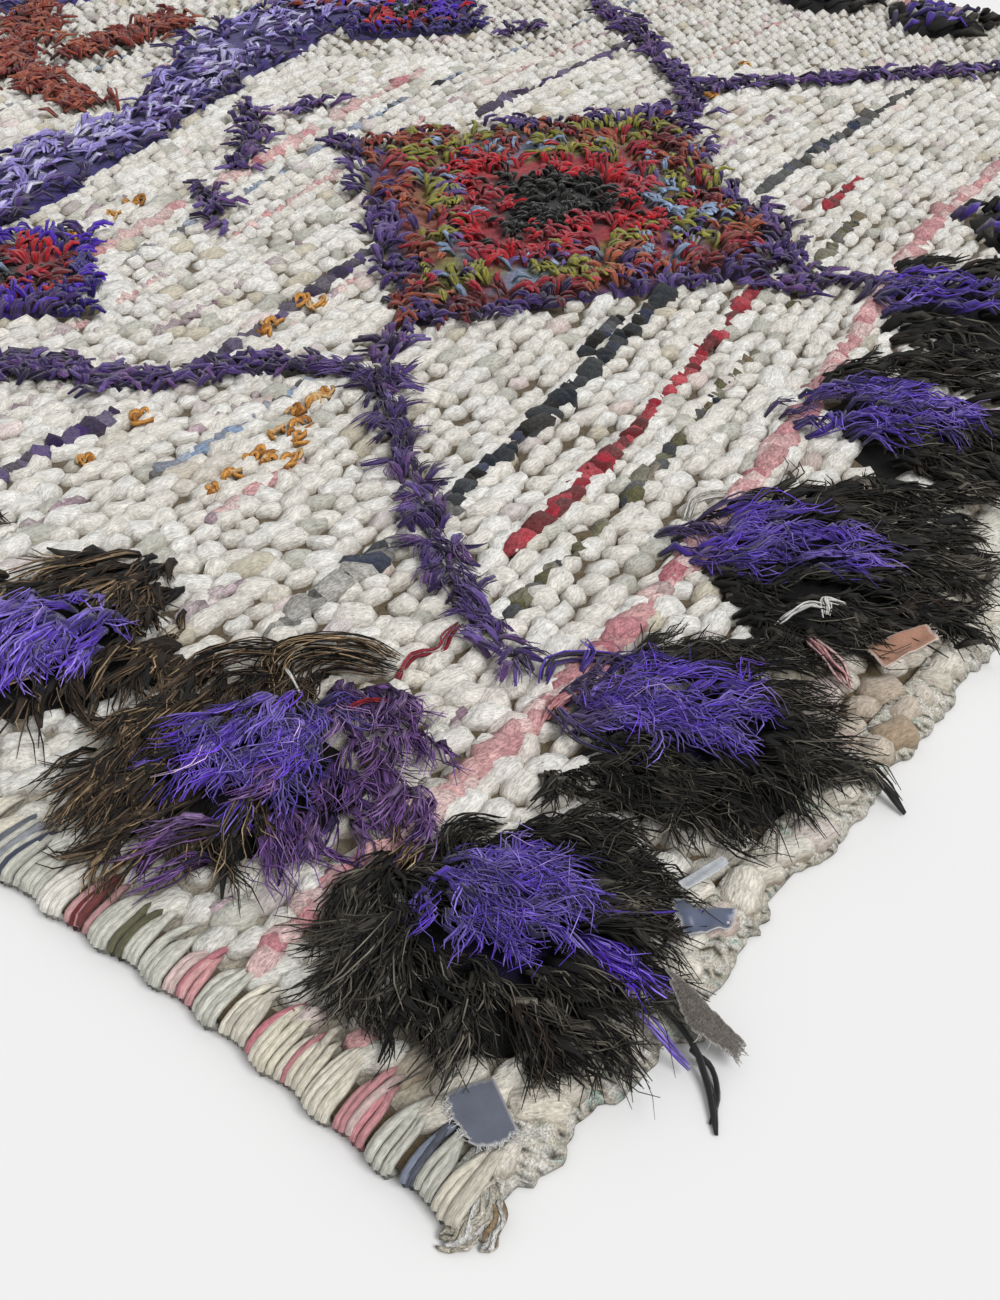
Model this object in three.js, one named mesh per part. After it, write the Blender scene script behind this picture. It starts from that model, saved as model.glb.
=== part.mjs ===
// Azilal rug, hand woven, lying flat.
// One woven cloth with wrapped selvedges, matted ends and a shaggy pile border, and the rag scraps
// that are tucked into its weave.
// Millimetres, +Z up. X runs along the weft, Y along the warp, and the origin is under the middle.

import * as THREE from 'three';

// Driving dimensions of the cloth.
const weftWidth = 1110; // selvedge to selvedge
const warpLength = 1640; // first weft to last, along the left selvedge
const clothThick = 9; // ground weave, over the tops of its weft rows
const rimThick = 6.5; // ground weave at its selvedges and ends
const rimWidth = 7; // how far in from an edge the cloth reaches its full thickness

// The weft rows climb towards the right selvedge, as hand-beaten rows do.
const rowClimb = 118; // climb of a row from left to right
const climbMiddle = 480; // where along the weft a row climbs fastest
const climbReach = 120; // how softly it climbs
const endClimb = 95; // climb of the near end itself
const endClimbFrom = 260; // where the near end starts to climb
const endClimbTo = 1000;
const endSettle = 55; // warp length over which the rows turn from the end to their full climb
const farRelaxFrom = 900; // warp position from which the climb is beaten out again
const farClimbShare = 0.5; // share of the climb left at the far end

// The selvedges wander in and out between the border's knots.
const selvedgeSway = 3;
const selvedgePitch = 170;
const scallopDepth = 1.1;
const scallopPitch = 23;

// The ends are torn and matted.
const endFray = 3.2; // how far the matted fibre stands past the last weft, on average
const frayBands = [
  { pitch: 61, depth: 2.1, phase: 0.4 },
  { pitch: 34, depth: 1.6, phase: 2.2 },
  { pitch: 143, depth: 1.4, phase: 5.1 },
];
// Matted nubs that stand out past the near end; x along the weft, all in millimetres.
const endNubs = [
  { x: 1, out: 9, half: 9 },
  { x: 33, out: 7, half: 8 },
  { x: 68, out: 6, half: 16 },
  { x: 112, out: 6, half: 14 },
  { x: 178, out: 3, half: 12 },
];

// Pile, as height over the ground weave.
const borderPile = 15; // long pile of the border lozenges
const borderBand = 9; // the band of long pile that joins them
const bandReach = 46; // half the width of that band
const lozengeAcross = 58; // half the width of a lozenge, along the weft
const lozengeAlong = 56; // half its length, along the warp
const medallionPile = 6;
const medallionEdge = 22; // how far in from a medallion's outline its pile is full
const beltPile = 5;
const beltWidth = 50; // the belts of pile that close the middle panel

// The border's lozenges: x and t along the weft and warp, in millimetres from the near left corner.
const nearLozenges = [
  { x: 72, t: 43 },
  { x: 187, t: 41 },
  { x: 290, t: 48 },
  { x: 407, t: 52 },
  { x: 540, t: 50 },
];
const borderInset = 74; // lozenge centres to the selvedge
const endInset = 48; // lozenge centres to the ends
const acrossPitch = 118; // the rest of the chains, one lozenge to the next
const alongPitch = 113;

// Medallions of the field, and their twins in the other half.
const medallions = [
  { x: 545, t: 306, across: 196, along: 180 },
  { x: 268, t: 553, across: 76, along: 84 },
  { x: 805, t: 632, across: 92, along: 80 },
];
const beltCentre = 636; // warp position of the near belt

// The mesh of the woven cloth: where its columns stand, from the left selvedge.
const columnBands = [
  { to: 0.135, count: 15 },
  { to: 0.9, count: 29 },
  { to: 1, count: 6 },
];
const rowCount = 68;

// Rag scraps tucked into the weave.
const scrapThick = 1;
const tuckGap = 0.4; // clearance between a scrap and the cloth that it lies on
const bridge = 1.8; // reach over which a scrap spans hollows in the cloth
const overhangFrom = 15; // how far past the near end a hanging scrap starts to droop
const overhangDroop = 0.25; // how steeply a scrap that hangs past the near end goes down
// x and y of the middle, length, width and the way that the length points in degrees; curl lifts the
// free end, and ragged roughens the outline.
const scraps = [
  { name: 'rag_satin', x: 23, y: 18, length: 27, width: 19, turn: 70, curl: 0.8, ragged: 0.9 },
  { name: 'rag_peach', x: 277, y: 24, length: 33, width: 17, turn: -28, curl: 4, ragged: 1.3 },
  { name: 'rag_strip', x: 142, y: 17, length: 22, width: 5, turn: -8, curl: 6, ragged: 0.4 },
  { name: 'rag_blue', x: 120, y: 6, length: 19, width: 12, turn: -74, curl: 4, ragged: 1.2 },
  { name: 'rag_felt', x: 84, y: -9, length: 38, width: 12, turn: -84, curl: 0, ragged: 1.6 },
];

const finishes = {
  rug: new THREE.MeshStandardMaterial({ color: 0xdfd9c9, roughness: 0.95, metalness: 0 }),
  rag_satin: new THREE.MeshStandardMaterial({ color: 0x7f869b, roughness: 0.4, metalness: 0 }),
  rag_peach: new THREE.MeshStandardMaterial({ color: 0xb98a74, roughness: 0.8, metalness: 0 }),
  rag_strip: new THREE.MeshStandardMaterial({ color: 0xb4b8be, roughness: 0.7, metalness: 0 }),
  rag_blue: new THREE.MeshStandardMaterial({ color: 0x5c6478, roughness: 0.5, metalness: 0 }),
  rag_felt: new THREE.MeshStandardMaterial({ color: 0x77716b, roughness: 0.95, metalness: 0 }),
};

const { smoothstep, lerp } = THREE.MathUtils;

// Climb of the weft row at x, where its warp position is t: it starts as the near end's own climb,
// takes up the full climb of the field, and eases towards the far end.
function rowShift(x, t) {
  const field = rowClimb / (1 + Math.exp((climbMiddle - x) / climbReach));
  const nearEnd = endClimb * smoothstep(x, endClimbFrom, endClimbTo);
  const settled = lerp(nearEnd, field, smoothstep(t, 0, endSettle));
  const relaxed = (1 - farClimbShare) * field * smoothstep(t, farRelaxFrom, warpLength);
  return settled - relaxed;
}

// How far a selvedge stands out at warp position t: a long sway with the small scallops of the weft
// returns on it.
function selvedgeOut(t, phase) {
  const sway = selvedgeSway * (1 + Math.cos((2 * Math.PI * (t - 20)) / selvedgePitch + phase)) * 0.5;
  return sway + scallopDepth * Math.sin((2 * Math.PI * t) / scallopPitch + phase);
}

// How far the matted end stands past the last weft at x.
function frayOut(x, phase, nubs) {
  let out = endFray;
  for (const band of frayBands) {
    out += band.depth * Math.sin((2 * Math.PI * x) / band.pitch + band.phase + phase);
  }
  for (const nub of nubs) {
    out += nub.out * Math.exp(-(((x - nub.x) / nub.half) ** 2));
  }
  return out;
}

// Plan position of the cloth at (u, v), both from 0 to 1 across the weft and along the warp.
function clothPlan(u, v) {
  const t = v * warpLength;
  const left = -selvedgeOut(t, 0);
  const right = weftWidth + selvedgeOut(t, 2.4);
  const x = lerp(left, right, u);
  const nearOut = frayOut(x, 0, endNubs) * (1 - smoothstep(v, 0, 0.02));
  const farOut = frayOut(x, 1.7, []) * smoothstep(v, 0.98, 1);
  return { x, y: t + rowShift(x, t) - nearOut + farOut, t };
}

// Centres of the border's lozenges, all the way round.
function lozengeCentres() {
  const centres = nearLozenges.map(({ x, t }) => ({ x, t }));
  const farX = weftWidth - borderInset;
  const farT = warpLength - endInset;
  const lastNear = nearLozenges[nearLozenges.length - 1].x;
  const nearRest = Math.round((farX - lastNear) / acrossPitch);
  for (let i = 1; i <= nearRest; i += 1) {
    centres.push({ x: lerp(lastNear, farX, i / nearRest), t: endInset });
  }
  const along = Math.round((farT - endInset) / alongPitch);
  for (let i = 1; i <= along; i += 1) {
    const t = lerp(endInset, farT, i / along);
    centres.push({ x: borderInset, t }, { x: farX, t });
  }
  const across = Math.round((farX - borderInset) / acrossPitch);
  for (let i = 1; i < across; i += 1) {
    centres.push({ x: lerp(borderInset, farX, i / across), t: farT });
  }
  return centres;
}
const lozenges = lozengeCentres();

// Height of the pile over the ground at weft position x and warp position t: the highest of the
// border band, the lozenges on it, the medallions and the belts.
function pileHeight(x, t) {
  const fromSide = Math.min(Math.abs(x - borderInset), Math.abs(x - weftWidth + borderInset));
  const fromEnd = Math.min(Math.abs(t - endInset), Math.abs(t - warpLength + endInset));
  const outside = x < borderInset || x > weftWidth - borderInset;
  const beyond = t < endInset || t > warpLength - endInset;
  let fromBand = Math.min(fromSide, fromEnd);
  if (outside || beyond) {
    fromBand = Math.hypot(outside ? fromSide : 0, beyond ? fromEnd : 0);
  }
  let height = borderBand * (1 - smoothstep(fromBand, bandReach * 0.5, bandReach));
  for (const lozenge of lozenges) {
    const away = Math.hypot((x - lozenge.x) / lozengeAcross, (t - lozenge.t) / lozengeAlong);
    height = Math.max(height, borderPile * (1 - smoothstep(away, 0.25, 1)));
  }
  for (const row of medallions) {
    for (const centreT of [row.t, warpLength - row.t]) {
      const inside = 1 - Math.abs(x - row.x) / row.across - Math.abs(t - centreT) / row.along;
      height = Math.max(height, medallionPile * smoothstep(inside * row.across, 0, medallionEdge));
    }
  }
  for (const centreT of [beltCentre, warpLength - beltCentre]) {
    const inside = beltWidth / 2 - Math.abs(t - centreT);
    const ends = bandReach + borderInset;
    const within = smoothstep(Math.min(x, weftWidth - x), ends, ends + medallionEdge);
    height = Math.max(height, beltPile * smoothstep(inside, 0, medallionEdge * 0.5) * within);
  }
  return height;
}

// Top of the cloth at weft position x and warp position t.
function clothTop(x, t) {
  const inwards = Math.min(x, weftWidth - x, t, warpLength - t);
  return lerp(rimThick, clothThick, smoothstep(inwards, 0, rimWidth)) + pileHeight(x, t);
}

// Column positions across the weft, closer together where the edges are uneven.
function columnStops() {
  const stops = [0];
  for (const band of columnBands) {
    const from = stops[stops.length - 1];
    for (let i = 1; i <= band.count; i += 1) {
      stops.push(lerp(from, band.to, i / band.count));
    }
  }
  return stops;
}

// Row positions along the warp: even, with one more close to each end for the torn edge.
function rowStops() {
  const nearEdge = rimWidth / warpLength;
  const stops = [0];
  for (let i = 0; i <= rowCount; i += 1) {
    stops.push(lerp(nearEdge, 1 - nearEdge, i / rowCount));
  }
  stops.push(1);
  return stops;
}

// The whole cloth: its top as a grid that follows the pile, a plain flat underside, and a wall round
// the outline that joins them.
function makeCloth() {
  const columns = columnStops();
  const rows = rowStops();
  const positions = [];
  const faces = [];
  for (const v of rows) {
    for (const u of columns) {
      const { x, y, t } = clothPlan(u, v);
      positions.push(x, y, clothTop(u * weftWidth, t));
    }
  }
  const wide = columns.length;
  const at = (i, j) => j * wide + i;
  for (let j = 0; j < rows.length - 1; j += 1) {
    for (let i = 0; i < wide - 1; i += 1) {
      faces.push(at(i, j), at(i + 1, j), at(i + 1, j + 1));
      faces.push(at(i, j), at(i + 1, j + 1), at(i, j + 1));
    }
  }
  const rim = [];
  for (let i = 0; i < wide - 1; i += 1) rim.push(at(i, 0));
  for (let j = 0; j < rows.length - 1; j += 1) rim.push(at(wide - 1, j));
  for (let i = wide - 1; i > 0; i -= 1) rim.push(at(i, rows.length - 1));
  for (let j = rows.length - 1; j > 0; j -= 1) rim.push(at(0, j));
  const base = positions.length / 3;
  const outline = rim.map((index) => {
    const point = new THREE.Vector2(positions[index * 3], positions[index * 3 + 1]);
    positions.push(point.x, point.y, 0);
    return point;
  });
  rim.forEach((top, k) => {
    const next = (k + 1) % rim.length;
    faces.push(top, base + k, base + next);
    faces.push(top, base + next, rim[next]);
  });
  for (const [a, b, c] of THREE.ShapeUtils.triangulateShape(outline, [])) {
    faces.push(base + a, base + c, base + b);
  }
  return closedGeometry(positions, faces);
}

function closedGeometry(positions, faces) {
  const geometry = new THREE.BufferGeometry();
  geometry.setAttribute('position', new THREE.Float32BufferAttribute(positions, 3));
  geometry.setIndex(faces);
  geometry.computeVertexNormals();
  return geometry;
}

// Top of the cloth's mesh at a plan position. Past the near end it goes on at the rim's height
// and then droops, for what hangs over.
const plumbLine = new THREE.Raycaster();
const overhead = 200;
function meshTop(cloth, x, y) {
  plumbLine.set(new THREE.Vector3(x, y, overhead), new THREE.Vector3(0, 0, -1));
  const [hit] = plumbLine.intersectObject(cloth);
  return hit ? hit.point.z : rimThick + overhangDroop * Math.min(0, y + overhangFrom);
}

// Height at which a stiff scrap rests at a plan position: the highest cloth close by.
function restHeight(cloth, x, y) {
  const near = [[0, 0], [bridge, 0], [-bridge, 0], [0, bridge], [0, -bridge]];
  return Math.max(...near.map(([dx, dy]) => meshTop(cloth, x + dx, y + dy)));
}

// A rag scrap: a grid laid over the cloth at the tuck gap, its free end curling up, its outline
// roughened along the torn sides, with an even thickness.
function makeScrap(scrap, cloth) {
  const stepsLong = 10;
  const stepsWide = 4;
  const turn = THREE.MathUtils.degToRad(scrap.turn);
  const underside = [];
  for (let j = 0; j <= stepsWide; j += 1) {
    for (let i = 0; i <= stepsLong; i += 1) {
      const side = (2 * j) / stepsWide - 1;
      const along = i / stepsLong - 0.5;
      const tear = Math.abs(side) === 1 ? scrap.ragged * Math.sin(i * 2.3 + scrap.width + side) : 0;
      const across = side * (scrap.width / 2 + tear);
      const x = scrap.x + along * scrap.length * Math.cos(turn) - across * Math.sin(turn);
      const y = scrap.y + along * scrap.length * Math.sin(turn) + across * Math.cos(turn);
      const lift = scrap.curl * smoothstep(along, 0, 0.5) ** 2;
      underside.push({ x, y, z: restHeight(cloth, x, y) + tuckGap + lift });
    }
  }
  const positions = [];
  for (const thick of [0, scrapThick]) {
    for (const { x, y, z } of underside) positions.push(x, y, z + thick);
  }
  const wide = stepsLong + 1;
  const sheet = underside.length;
  const at = (i, j, upper) => (upper ? sheet : 0) + j * wide + i;
  const faces = [];
  for (let j = 0; j < stepsWide; j += 1) {
    for (let i = 0; i < stepsLong; i += 1) {
      faces.push(at(i, j, true), at(i + 1, j, true), at(i + 1, j + 1, true));
      faces.push(at(i, j, true), at(i + 1, j + 1, true), at(i, j + 1, true));
      faces.push(at(i, j), at(i + 1, j + 1), at(i + 1, j));
      faces.push(at(i, j), at(i, j + 1), at(i + 1, j + 1));
    }
  }
  const rim = [];
  for (let i = 0; i < stepsLong; i += 1) rim.push(at(i, 0));
  for (let j = 0; j < stepsWide; j += 1) rim.push(at(stepsLong, j));
  for (let i = stepsLong; i > 0; i -= 1) rim.push(at(i, stepsWide));
  for (let j = stepsWide; j > 0; j -= 1) rim.push(at(0, j));
  rim.forEach((low, k) => {
    const next = rim[(k + 1) % rim.length];
    faces.push(low, next, sheet + next);
    faces.push(low, sheet + next, sheet + low);
  });
  return closedGeometry(positions, faces);
}

const rug = new THREE.Group();
const cloth = new THREE.Mesh(makeCloth(), finishes.rug);
cloth.name = 'rug';
rug.add(cloth);
for (const scrap of scraps) {
  const piece = new THREE.Mesh(makeScrap(scrap, cloth), finishes[scrap.name]);
  piece.name = scrap.name;
  rug.add(piece);
}

// The origin goes under the middle of the whole rug.
const reach = new THREE.Box3().setFromObject(rug);
const middle = reach.getCenter(new THREE.Vector3());
rug.position.set(-middle.x, -middle.y, 0);

export default rug;
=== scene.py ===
import math

import bpy
import numpy as np
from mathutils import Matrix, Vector


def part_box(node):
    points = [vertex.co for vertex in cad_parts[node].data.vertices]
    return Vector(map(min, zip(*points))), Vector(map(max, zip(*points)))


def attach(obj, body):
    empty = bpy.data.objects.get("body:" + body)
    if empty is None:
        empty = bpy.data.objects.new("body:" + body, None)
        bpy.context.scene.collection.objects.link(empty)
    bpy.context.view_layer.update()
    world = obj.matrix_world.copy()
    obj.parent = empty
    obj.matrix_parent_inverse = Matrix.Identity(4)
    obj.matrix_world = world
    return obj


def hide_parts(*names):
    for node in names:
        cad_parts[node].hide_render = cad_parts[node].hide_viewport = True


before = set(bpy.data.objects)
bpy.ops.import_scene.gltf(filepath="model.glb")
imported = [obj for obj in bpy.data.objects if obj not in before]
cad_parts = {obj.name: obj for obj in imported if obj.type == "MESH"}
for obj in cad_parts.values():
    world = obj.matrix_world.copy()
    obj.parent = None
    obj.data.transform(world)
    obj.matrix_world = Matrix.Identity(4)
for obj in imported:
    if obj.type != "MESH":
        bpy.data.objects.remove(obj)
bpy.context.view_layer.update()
draw = np.random.default_rng(1164)  # the weave's random draws; with a fixed seed each run is the same

# Sizes are in millimetres from the near left corner of the cloth: x along the weft, y along the warp,
# z up, and t is the warp position of a weft row before its climb is added.
cloth = {
    "width": 1110.0,
    "length": 1640.0,
    "rowClimb": 118.0,      # climb of a row from left to right
    "climbMiddle": 480.0,
    "climbReach": 120.0,
    "endClimb": 95.0,       # climb of the near end itself
    "endClimbFrom": 260.0,
    "endClimbTo": 1000.0,
    "endSettle": 55.0,
    "farRelaxFrom": 900.0,
    "farShare": 0.5,
    "sway": 3.0,            # the selvedges wander in and out
    "swayPitch": 170.0,
    "scallop": 1.1,
    "scallopPitch": 23.0,
    "bedTop": 4.6,          # firm inside of the weave, under the puffs of yarn
    "bedInset": 3.0,
    "top": 9.6,             # tops of the puffs
    "leftReach": 4.01,      # from the corner to the CAD rug's lowest x and y
    "nearReach": 13.78,
}
rugLow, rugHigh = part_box("rug")
corner = np.array([rugLow.x * 1000 + cloth["leftReach"], rugLow.y * 1000 + cloth["nearReach"], 0.0])


def smooth(value, low, high):
    # 3 s^2 - 2 s^3, where s goes from 0 at low to 1 at high
    s = np.clip((value - low) / (high - low), 0, 1)
    return s * s * (3 - 2 * s)


def blendTo(a, b, share):
    # a + (b - a) share
    return a + (b - a) * share


def rowShift(x, t):
    # climb of a row: a logistic curve of x, the end's own climb near t = 0, and less of it at the far end
    field = cloth["rowClimb"] / (1 + np.exp((cloth["climbMiddle"] - x) / cloth["climbReach"]))
    nearEnd = cloth["endClimb"] * smooth(x, cloth["endClimbFrom"], cloth["endClimbTo"])
    settled = blendTo(nearEnd, field, smooth(t, 0, cloth["endSettle"]))
    return settled - (1 - cloth["farShare"]) * field * smooth(t, cloth["farRelaxFrom"], cloth["length"])


def rowSlope(x, t):
    # d(rowShift)/dx, by a difference over 4 mm
    return (rowShift(x + 2, t) - rowShift(x - 2, t)) / 4


def rowSpread(x, t, reach):
    # how much further apart the rows lie than along t: 1 + d(rowShift)/dt, by a difference over 2 reach
    return 1 + (rowShift(x, t + reach) - rowShift(x, t - reach)) / (2 * reach)


def selvedgeOut(t, phase):
    # sway (1 + cos)/2 with the small scallops of the weft returns on it
    sway = cloth["sway"] * (1 + np.cos(2 * np.pi * (t - 20) / cloth["swayPitch"] + phase)) / 2
    return sway + cloth["scallop"] * np.sin(2 * np.pi * t / cloth["scallopPitch"] + phase)


def toPlan(x, t, z):
    # weave coordinates to the place on the floor
    return np.stack([x, t + rowShift(x, t), z + 0 * x], axis=-1)


def mirrored(t):
    # the same place in the far half, whose design is the near half's turned over
    return cloth["length"] - t


def linear(code):
    # sRGB hex to linear: c / 12.92 below 0.04045, else ((c + 0.055) / 1.055)^2.4
    parts = np.array([int(code[k:k + 2], 16) for k in (1, 3, 5)]) / 255
    return np.where(parts <= 0.04045, parts / 12.92, ((parts + 0.055) / 1.055) ** 2.4)


# groove is the colour of the painted shade low in the weave's grooves; a few yarns are also dyed in it
dye = {name: linear(code) for name, code in {
    "cream": "#f4f0e7", "ivory": "#faf8f2", "oat": "#dbd3c0", "greige": "#cfcec3", "groove": "#75664f",
    "violet": "#5a32c2", "violetLight": "#9b82f0", "violetDeep": "#260f6c", "plum": "#4c3674",
    "plumDark": "#2f2148", "plumLight": "#6f579c", "mauveLock": "#6d4c86", "mauveTip": "#8f73a0",
    "black": "#1a1815", "soot": "#0c0b0a", "blackWorn": "#48443d", "ashWorn": "#7d776b",
    "brown": "#33271d", "brownWorn": "#6e5b47", "tan": "#a38b6c", "crimson": "#a62c3c",
    "redLight": "#c44b57", "bright": "#c4222e", "darkRed": "#6f2429", "pink": "#dba3a4",
    "pinkLight": "#ecc9c6", "rose": "#c77f88", "mauve": "#b9a0ab", "mauveDeep": "#8f7484",
    "amber": "#b97a3a", "olive": "#5f5d40", "oliveYellow": "#97943f", "navy": "#2f3750", "ink": "#232a33",
    "orange": "#e9a757", "orangeLight": "#f3c88f", "beltBlue": "#ab9eea", "beltLight": "#d0ccf8",
    "beltDeep": "#473c86", "rust": "#8f3d30", "rustLight": "#b06048", "lightBlue": "#8fa4c4",
    "greyBlue": "#8a92a6", "satin": "#5b606f", "strip": "#b4b8be", "ragBlue": "#4f5870",
    "peach": "#a87f6b", "felt": "#77716b", "white": "#f3f1ec", "mint": "#b4cfc2", "endCream": "#e6dfce",
    "endSage": "#cbcbb8", "speck": "#4a4438",
}.items()}


def dyeTable(names):
    # the named dyes as rows of red, green and blue
    return np.array([dye[name] for name in names.split()])


def mixDyes(names, count, weights=None):
    # one dye for each of count things, drawn by weight
    table = dyeTable(names)
    return table[draw.choice(len(table), count, p=weights)]


def unit(vectors, least=1e-9):
    # each vector over (its length + least), so that one of no length stays finite
    return vectors / (np.linalg.norm(vectors, axis=-1, keepdims=True) + least)


def rounded(u, v):
    # (|u|^1.4 + |v|^1.4)^(1/1.4), which is 1 on the outline of a lozenge with soft corners
    return (np.abs(u) ** 1.4 + np.abs(v) ** 1.4) ** (1 / 1.4)


def tubeFaces(count, steps, sides, turned=False):
    # walls and caps of closed tubes, each of steps rings of sides points; turned swaps inside and outside
    at = np.arange(count * steps * sides).reshape(count, steps, sides)
    after = np.roll(at, -1, axis=2)
    walls = [at[:, :-1], at[:, 1:], after[:, 1:], after[:, :-1]]
    caps = [at[:, 0], at[:, -1, ::-1]]
    if turned:
        walls = walls[:1] + walls[:0:-1]
        caps = [at[:, 0, ::-1], at[:, -1]]
    return [np.stack(walls, axis=3).reshape(-1, 4), np.concatenate(caps)]


def carry(paths, wide, high, sides, tint, lumps=1.0, roll=0.0, under=1.0):
    # A section carried along each path: path(s) + across side + upward rise, where side = tangent x up and
    # rise = side x tangent. The section is the ellipse wide cos(a), high sin(a), turned by roll. Its
    # underside takes the share under of the tint: painted shade between yarns.
    count, steps, _ = paths.shape
    tangent = unit(np.gradient(paths, axis=1))
    side = unit(np.cross(tangent, [0.0, 0.0, 1.0]), 1e-6)
    rise = np.cross(side, tangent)
    a = 2 * np.pi * (np.arange(sides) + 0.5) / sides
    longWay = wide[:, :, None] * np.cos(a) * lumps
    shortWay = high[:, :, None] * np.sin(a) * lumps
    roll = np.reshape(roll, (-1, 1, 1))
    across = longWay * np.cos(roll) - shortWay * np.sin(roll)
    upward = longWay * np.sin(roll) + shortWay * np.cos(roll)
    points = paths[:, :, None] + across[..., None] * side[:, :, None]
    points = points + upward[..., None] * rise[:, :, None]
    run = np.cumsum(np.linalg.norm(np.diff(paths, axis=1, prepend=paths[:, :1]), axis=2), axis=1)
    grain = np.stack([np.broadcast_to(run[:, :, None], longWay.shape), longWay, shortWay], axis=3)
    grain = grain + draw.uniform(0, 900, (count, 1, 1, 3))
    if tint.ndim == 2:
        tint = tint[:, None, :]
    if tint.ndim == 3:
        tint = tint[:, :, None, :]
    foot = smooth(np.sin(a + roll), -0.95, 0.65)[..., None]
    colour = np.broadcast_to(tint * blendTo(under, 1.0, foot), points.shape)
    return {"points": points.reshape(-1, 3), "faces": tubeFaces(count, steps, sides),
            "tint": colour.reshape(-1, 3), "grain": grain.reshape(-1, 3)}


def slabOf(top, under, tint):
    # closed sheet: a grid of points above and one below it, joined round the rim
    at = np.arange(top.shape[0] * top.shape[1]).reshape(top.shape[:2])
    face = np.stack([at[:-1, :-1], at[1:, :-1], at[1:, 1:], at[:-1, 1:]], axis=2).reshape(-1, 4)
    rim = np.concatenate([at[:-1, 0], at[-1, :-1], at[:0:-1, -1], at[0, :0:-1]])
    after = np.roll(rim, -1)
    below = at.size
    walls = np.stack([rim, rim + below, after + below, after], axis=1)
    points = np.concatenate([top.reshape(-1, 3), under.reshape(-1, 3)])
    return {"points": points, "faces": [face, face[:, ::-1] + below, walls],
            "tint": np.concatenate([tint.reshape(-1, 3)] * 2), "grain": points}


def gather(sets):
    # several sets of points and faces as one
    sets = [s for s in sets if len(s["points"])]
    starts = np.cumsum([0] + [len(s["points"]) for s in sets])
    faces = [f + start for s, start in zip(sets, starts) for f in s["faces"] if len(f)]
    joined = {key: np.concatenate([s[key] for s in sets]) for key in ("points", "tint", "grain")}
    return {**joined, "faces": faces}


def shadeLow(part, low, high, deepest):
    # painted shade: the lower a point of yarn lies, the more it takes the colour of the groove
    share = deepest * (1 - smooth(part["points"][:, 2:3], low, high))
    part["tint"] = blendTo(part["tint"], dye["groove"], share)
    return part


triangleTotal = []


def addObject(name, data):
    # an object made of the data, linked into the scene
    thing = bpy.data.objects.new(name, data)
    bpy.context.scene.collection.objects.link(thing)
    return thing


def addPiece(name, part, finish):
    # puts a set of points and faces, in millimetres from the corner, into a mesh that rides on the rug
    mesh = bpy.data.meshes.new(name)
    counts = np.concatenate([np.full(len(f), f.shape[1]) for f in part["faces"]])
    corners = np.concatenate([f.ravel() for f in part["faces"]]).astype(np.int32)
    points = part["points"] + corner
    points[:, 2] = np.maximum(points[:, 2], 0.05)
    mesh.vertices.add(len(points))
    mesh.vertices.foreach_set("co", (points / 1000).astype(np.float32).ravel())
    mesh.loops.add(len(corners))
    mesh.loops.foreach_set("vertex_index", corners)
    mesh.polygons.add(len(counts))
    mesh.polygons.foreach_set("loop_start", (np.cumsum(counts) - counts).astype(np.int32))
    mesh.update(calc_edges=True)
    mesh.polygons.foreach_set("use_smooth", np.full(len(counts), True))
    colour = np.ones((len(points), 4), np.float32)
    colour[:, :3] = np.clip(part["tint"], 0, 1)
    mesh.attributes.new("tint", "FLOAT_COLOR", "POINT").data.foreach_set("color", colour.ravel())
    grain = mesh.attributes.new("grain", "FLOAT_VECTOR", "POINT")
    grain.data.foreach_set("vector", part["grain"].astype(np.float32).ravel())
    mesh.materials.append(finishes[finish])
    piece = addObject(name, mesh)
    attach(piece, "root")
    triangleTotal.append(int((counts - 2).sum()))
    print(f"{name}: {triangleTotal[-1]} triangles")
    return piece


def addNode(tree, kind, links=None, **settings):
    # one shader node with its settings; links maps an input's name or number to a value, to an output, or
    # to a node, whose first output it takes
    node = tree.nodes.new("ShaderNode" + kind)
    for key, value in settings.items():
        setattr(node, key, value)
    for key, value in (links or {}).items():
        if isinstance(value, bpy.types.Node):
            value = value.outputs[0]
        if isinstance(value, bpy.types.NodeSocket):
            tree.links.new(value, node.inputs[key])
        else:
            node.inputs[key].default_value = value
    return node


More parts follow.
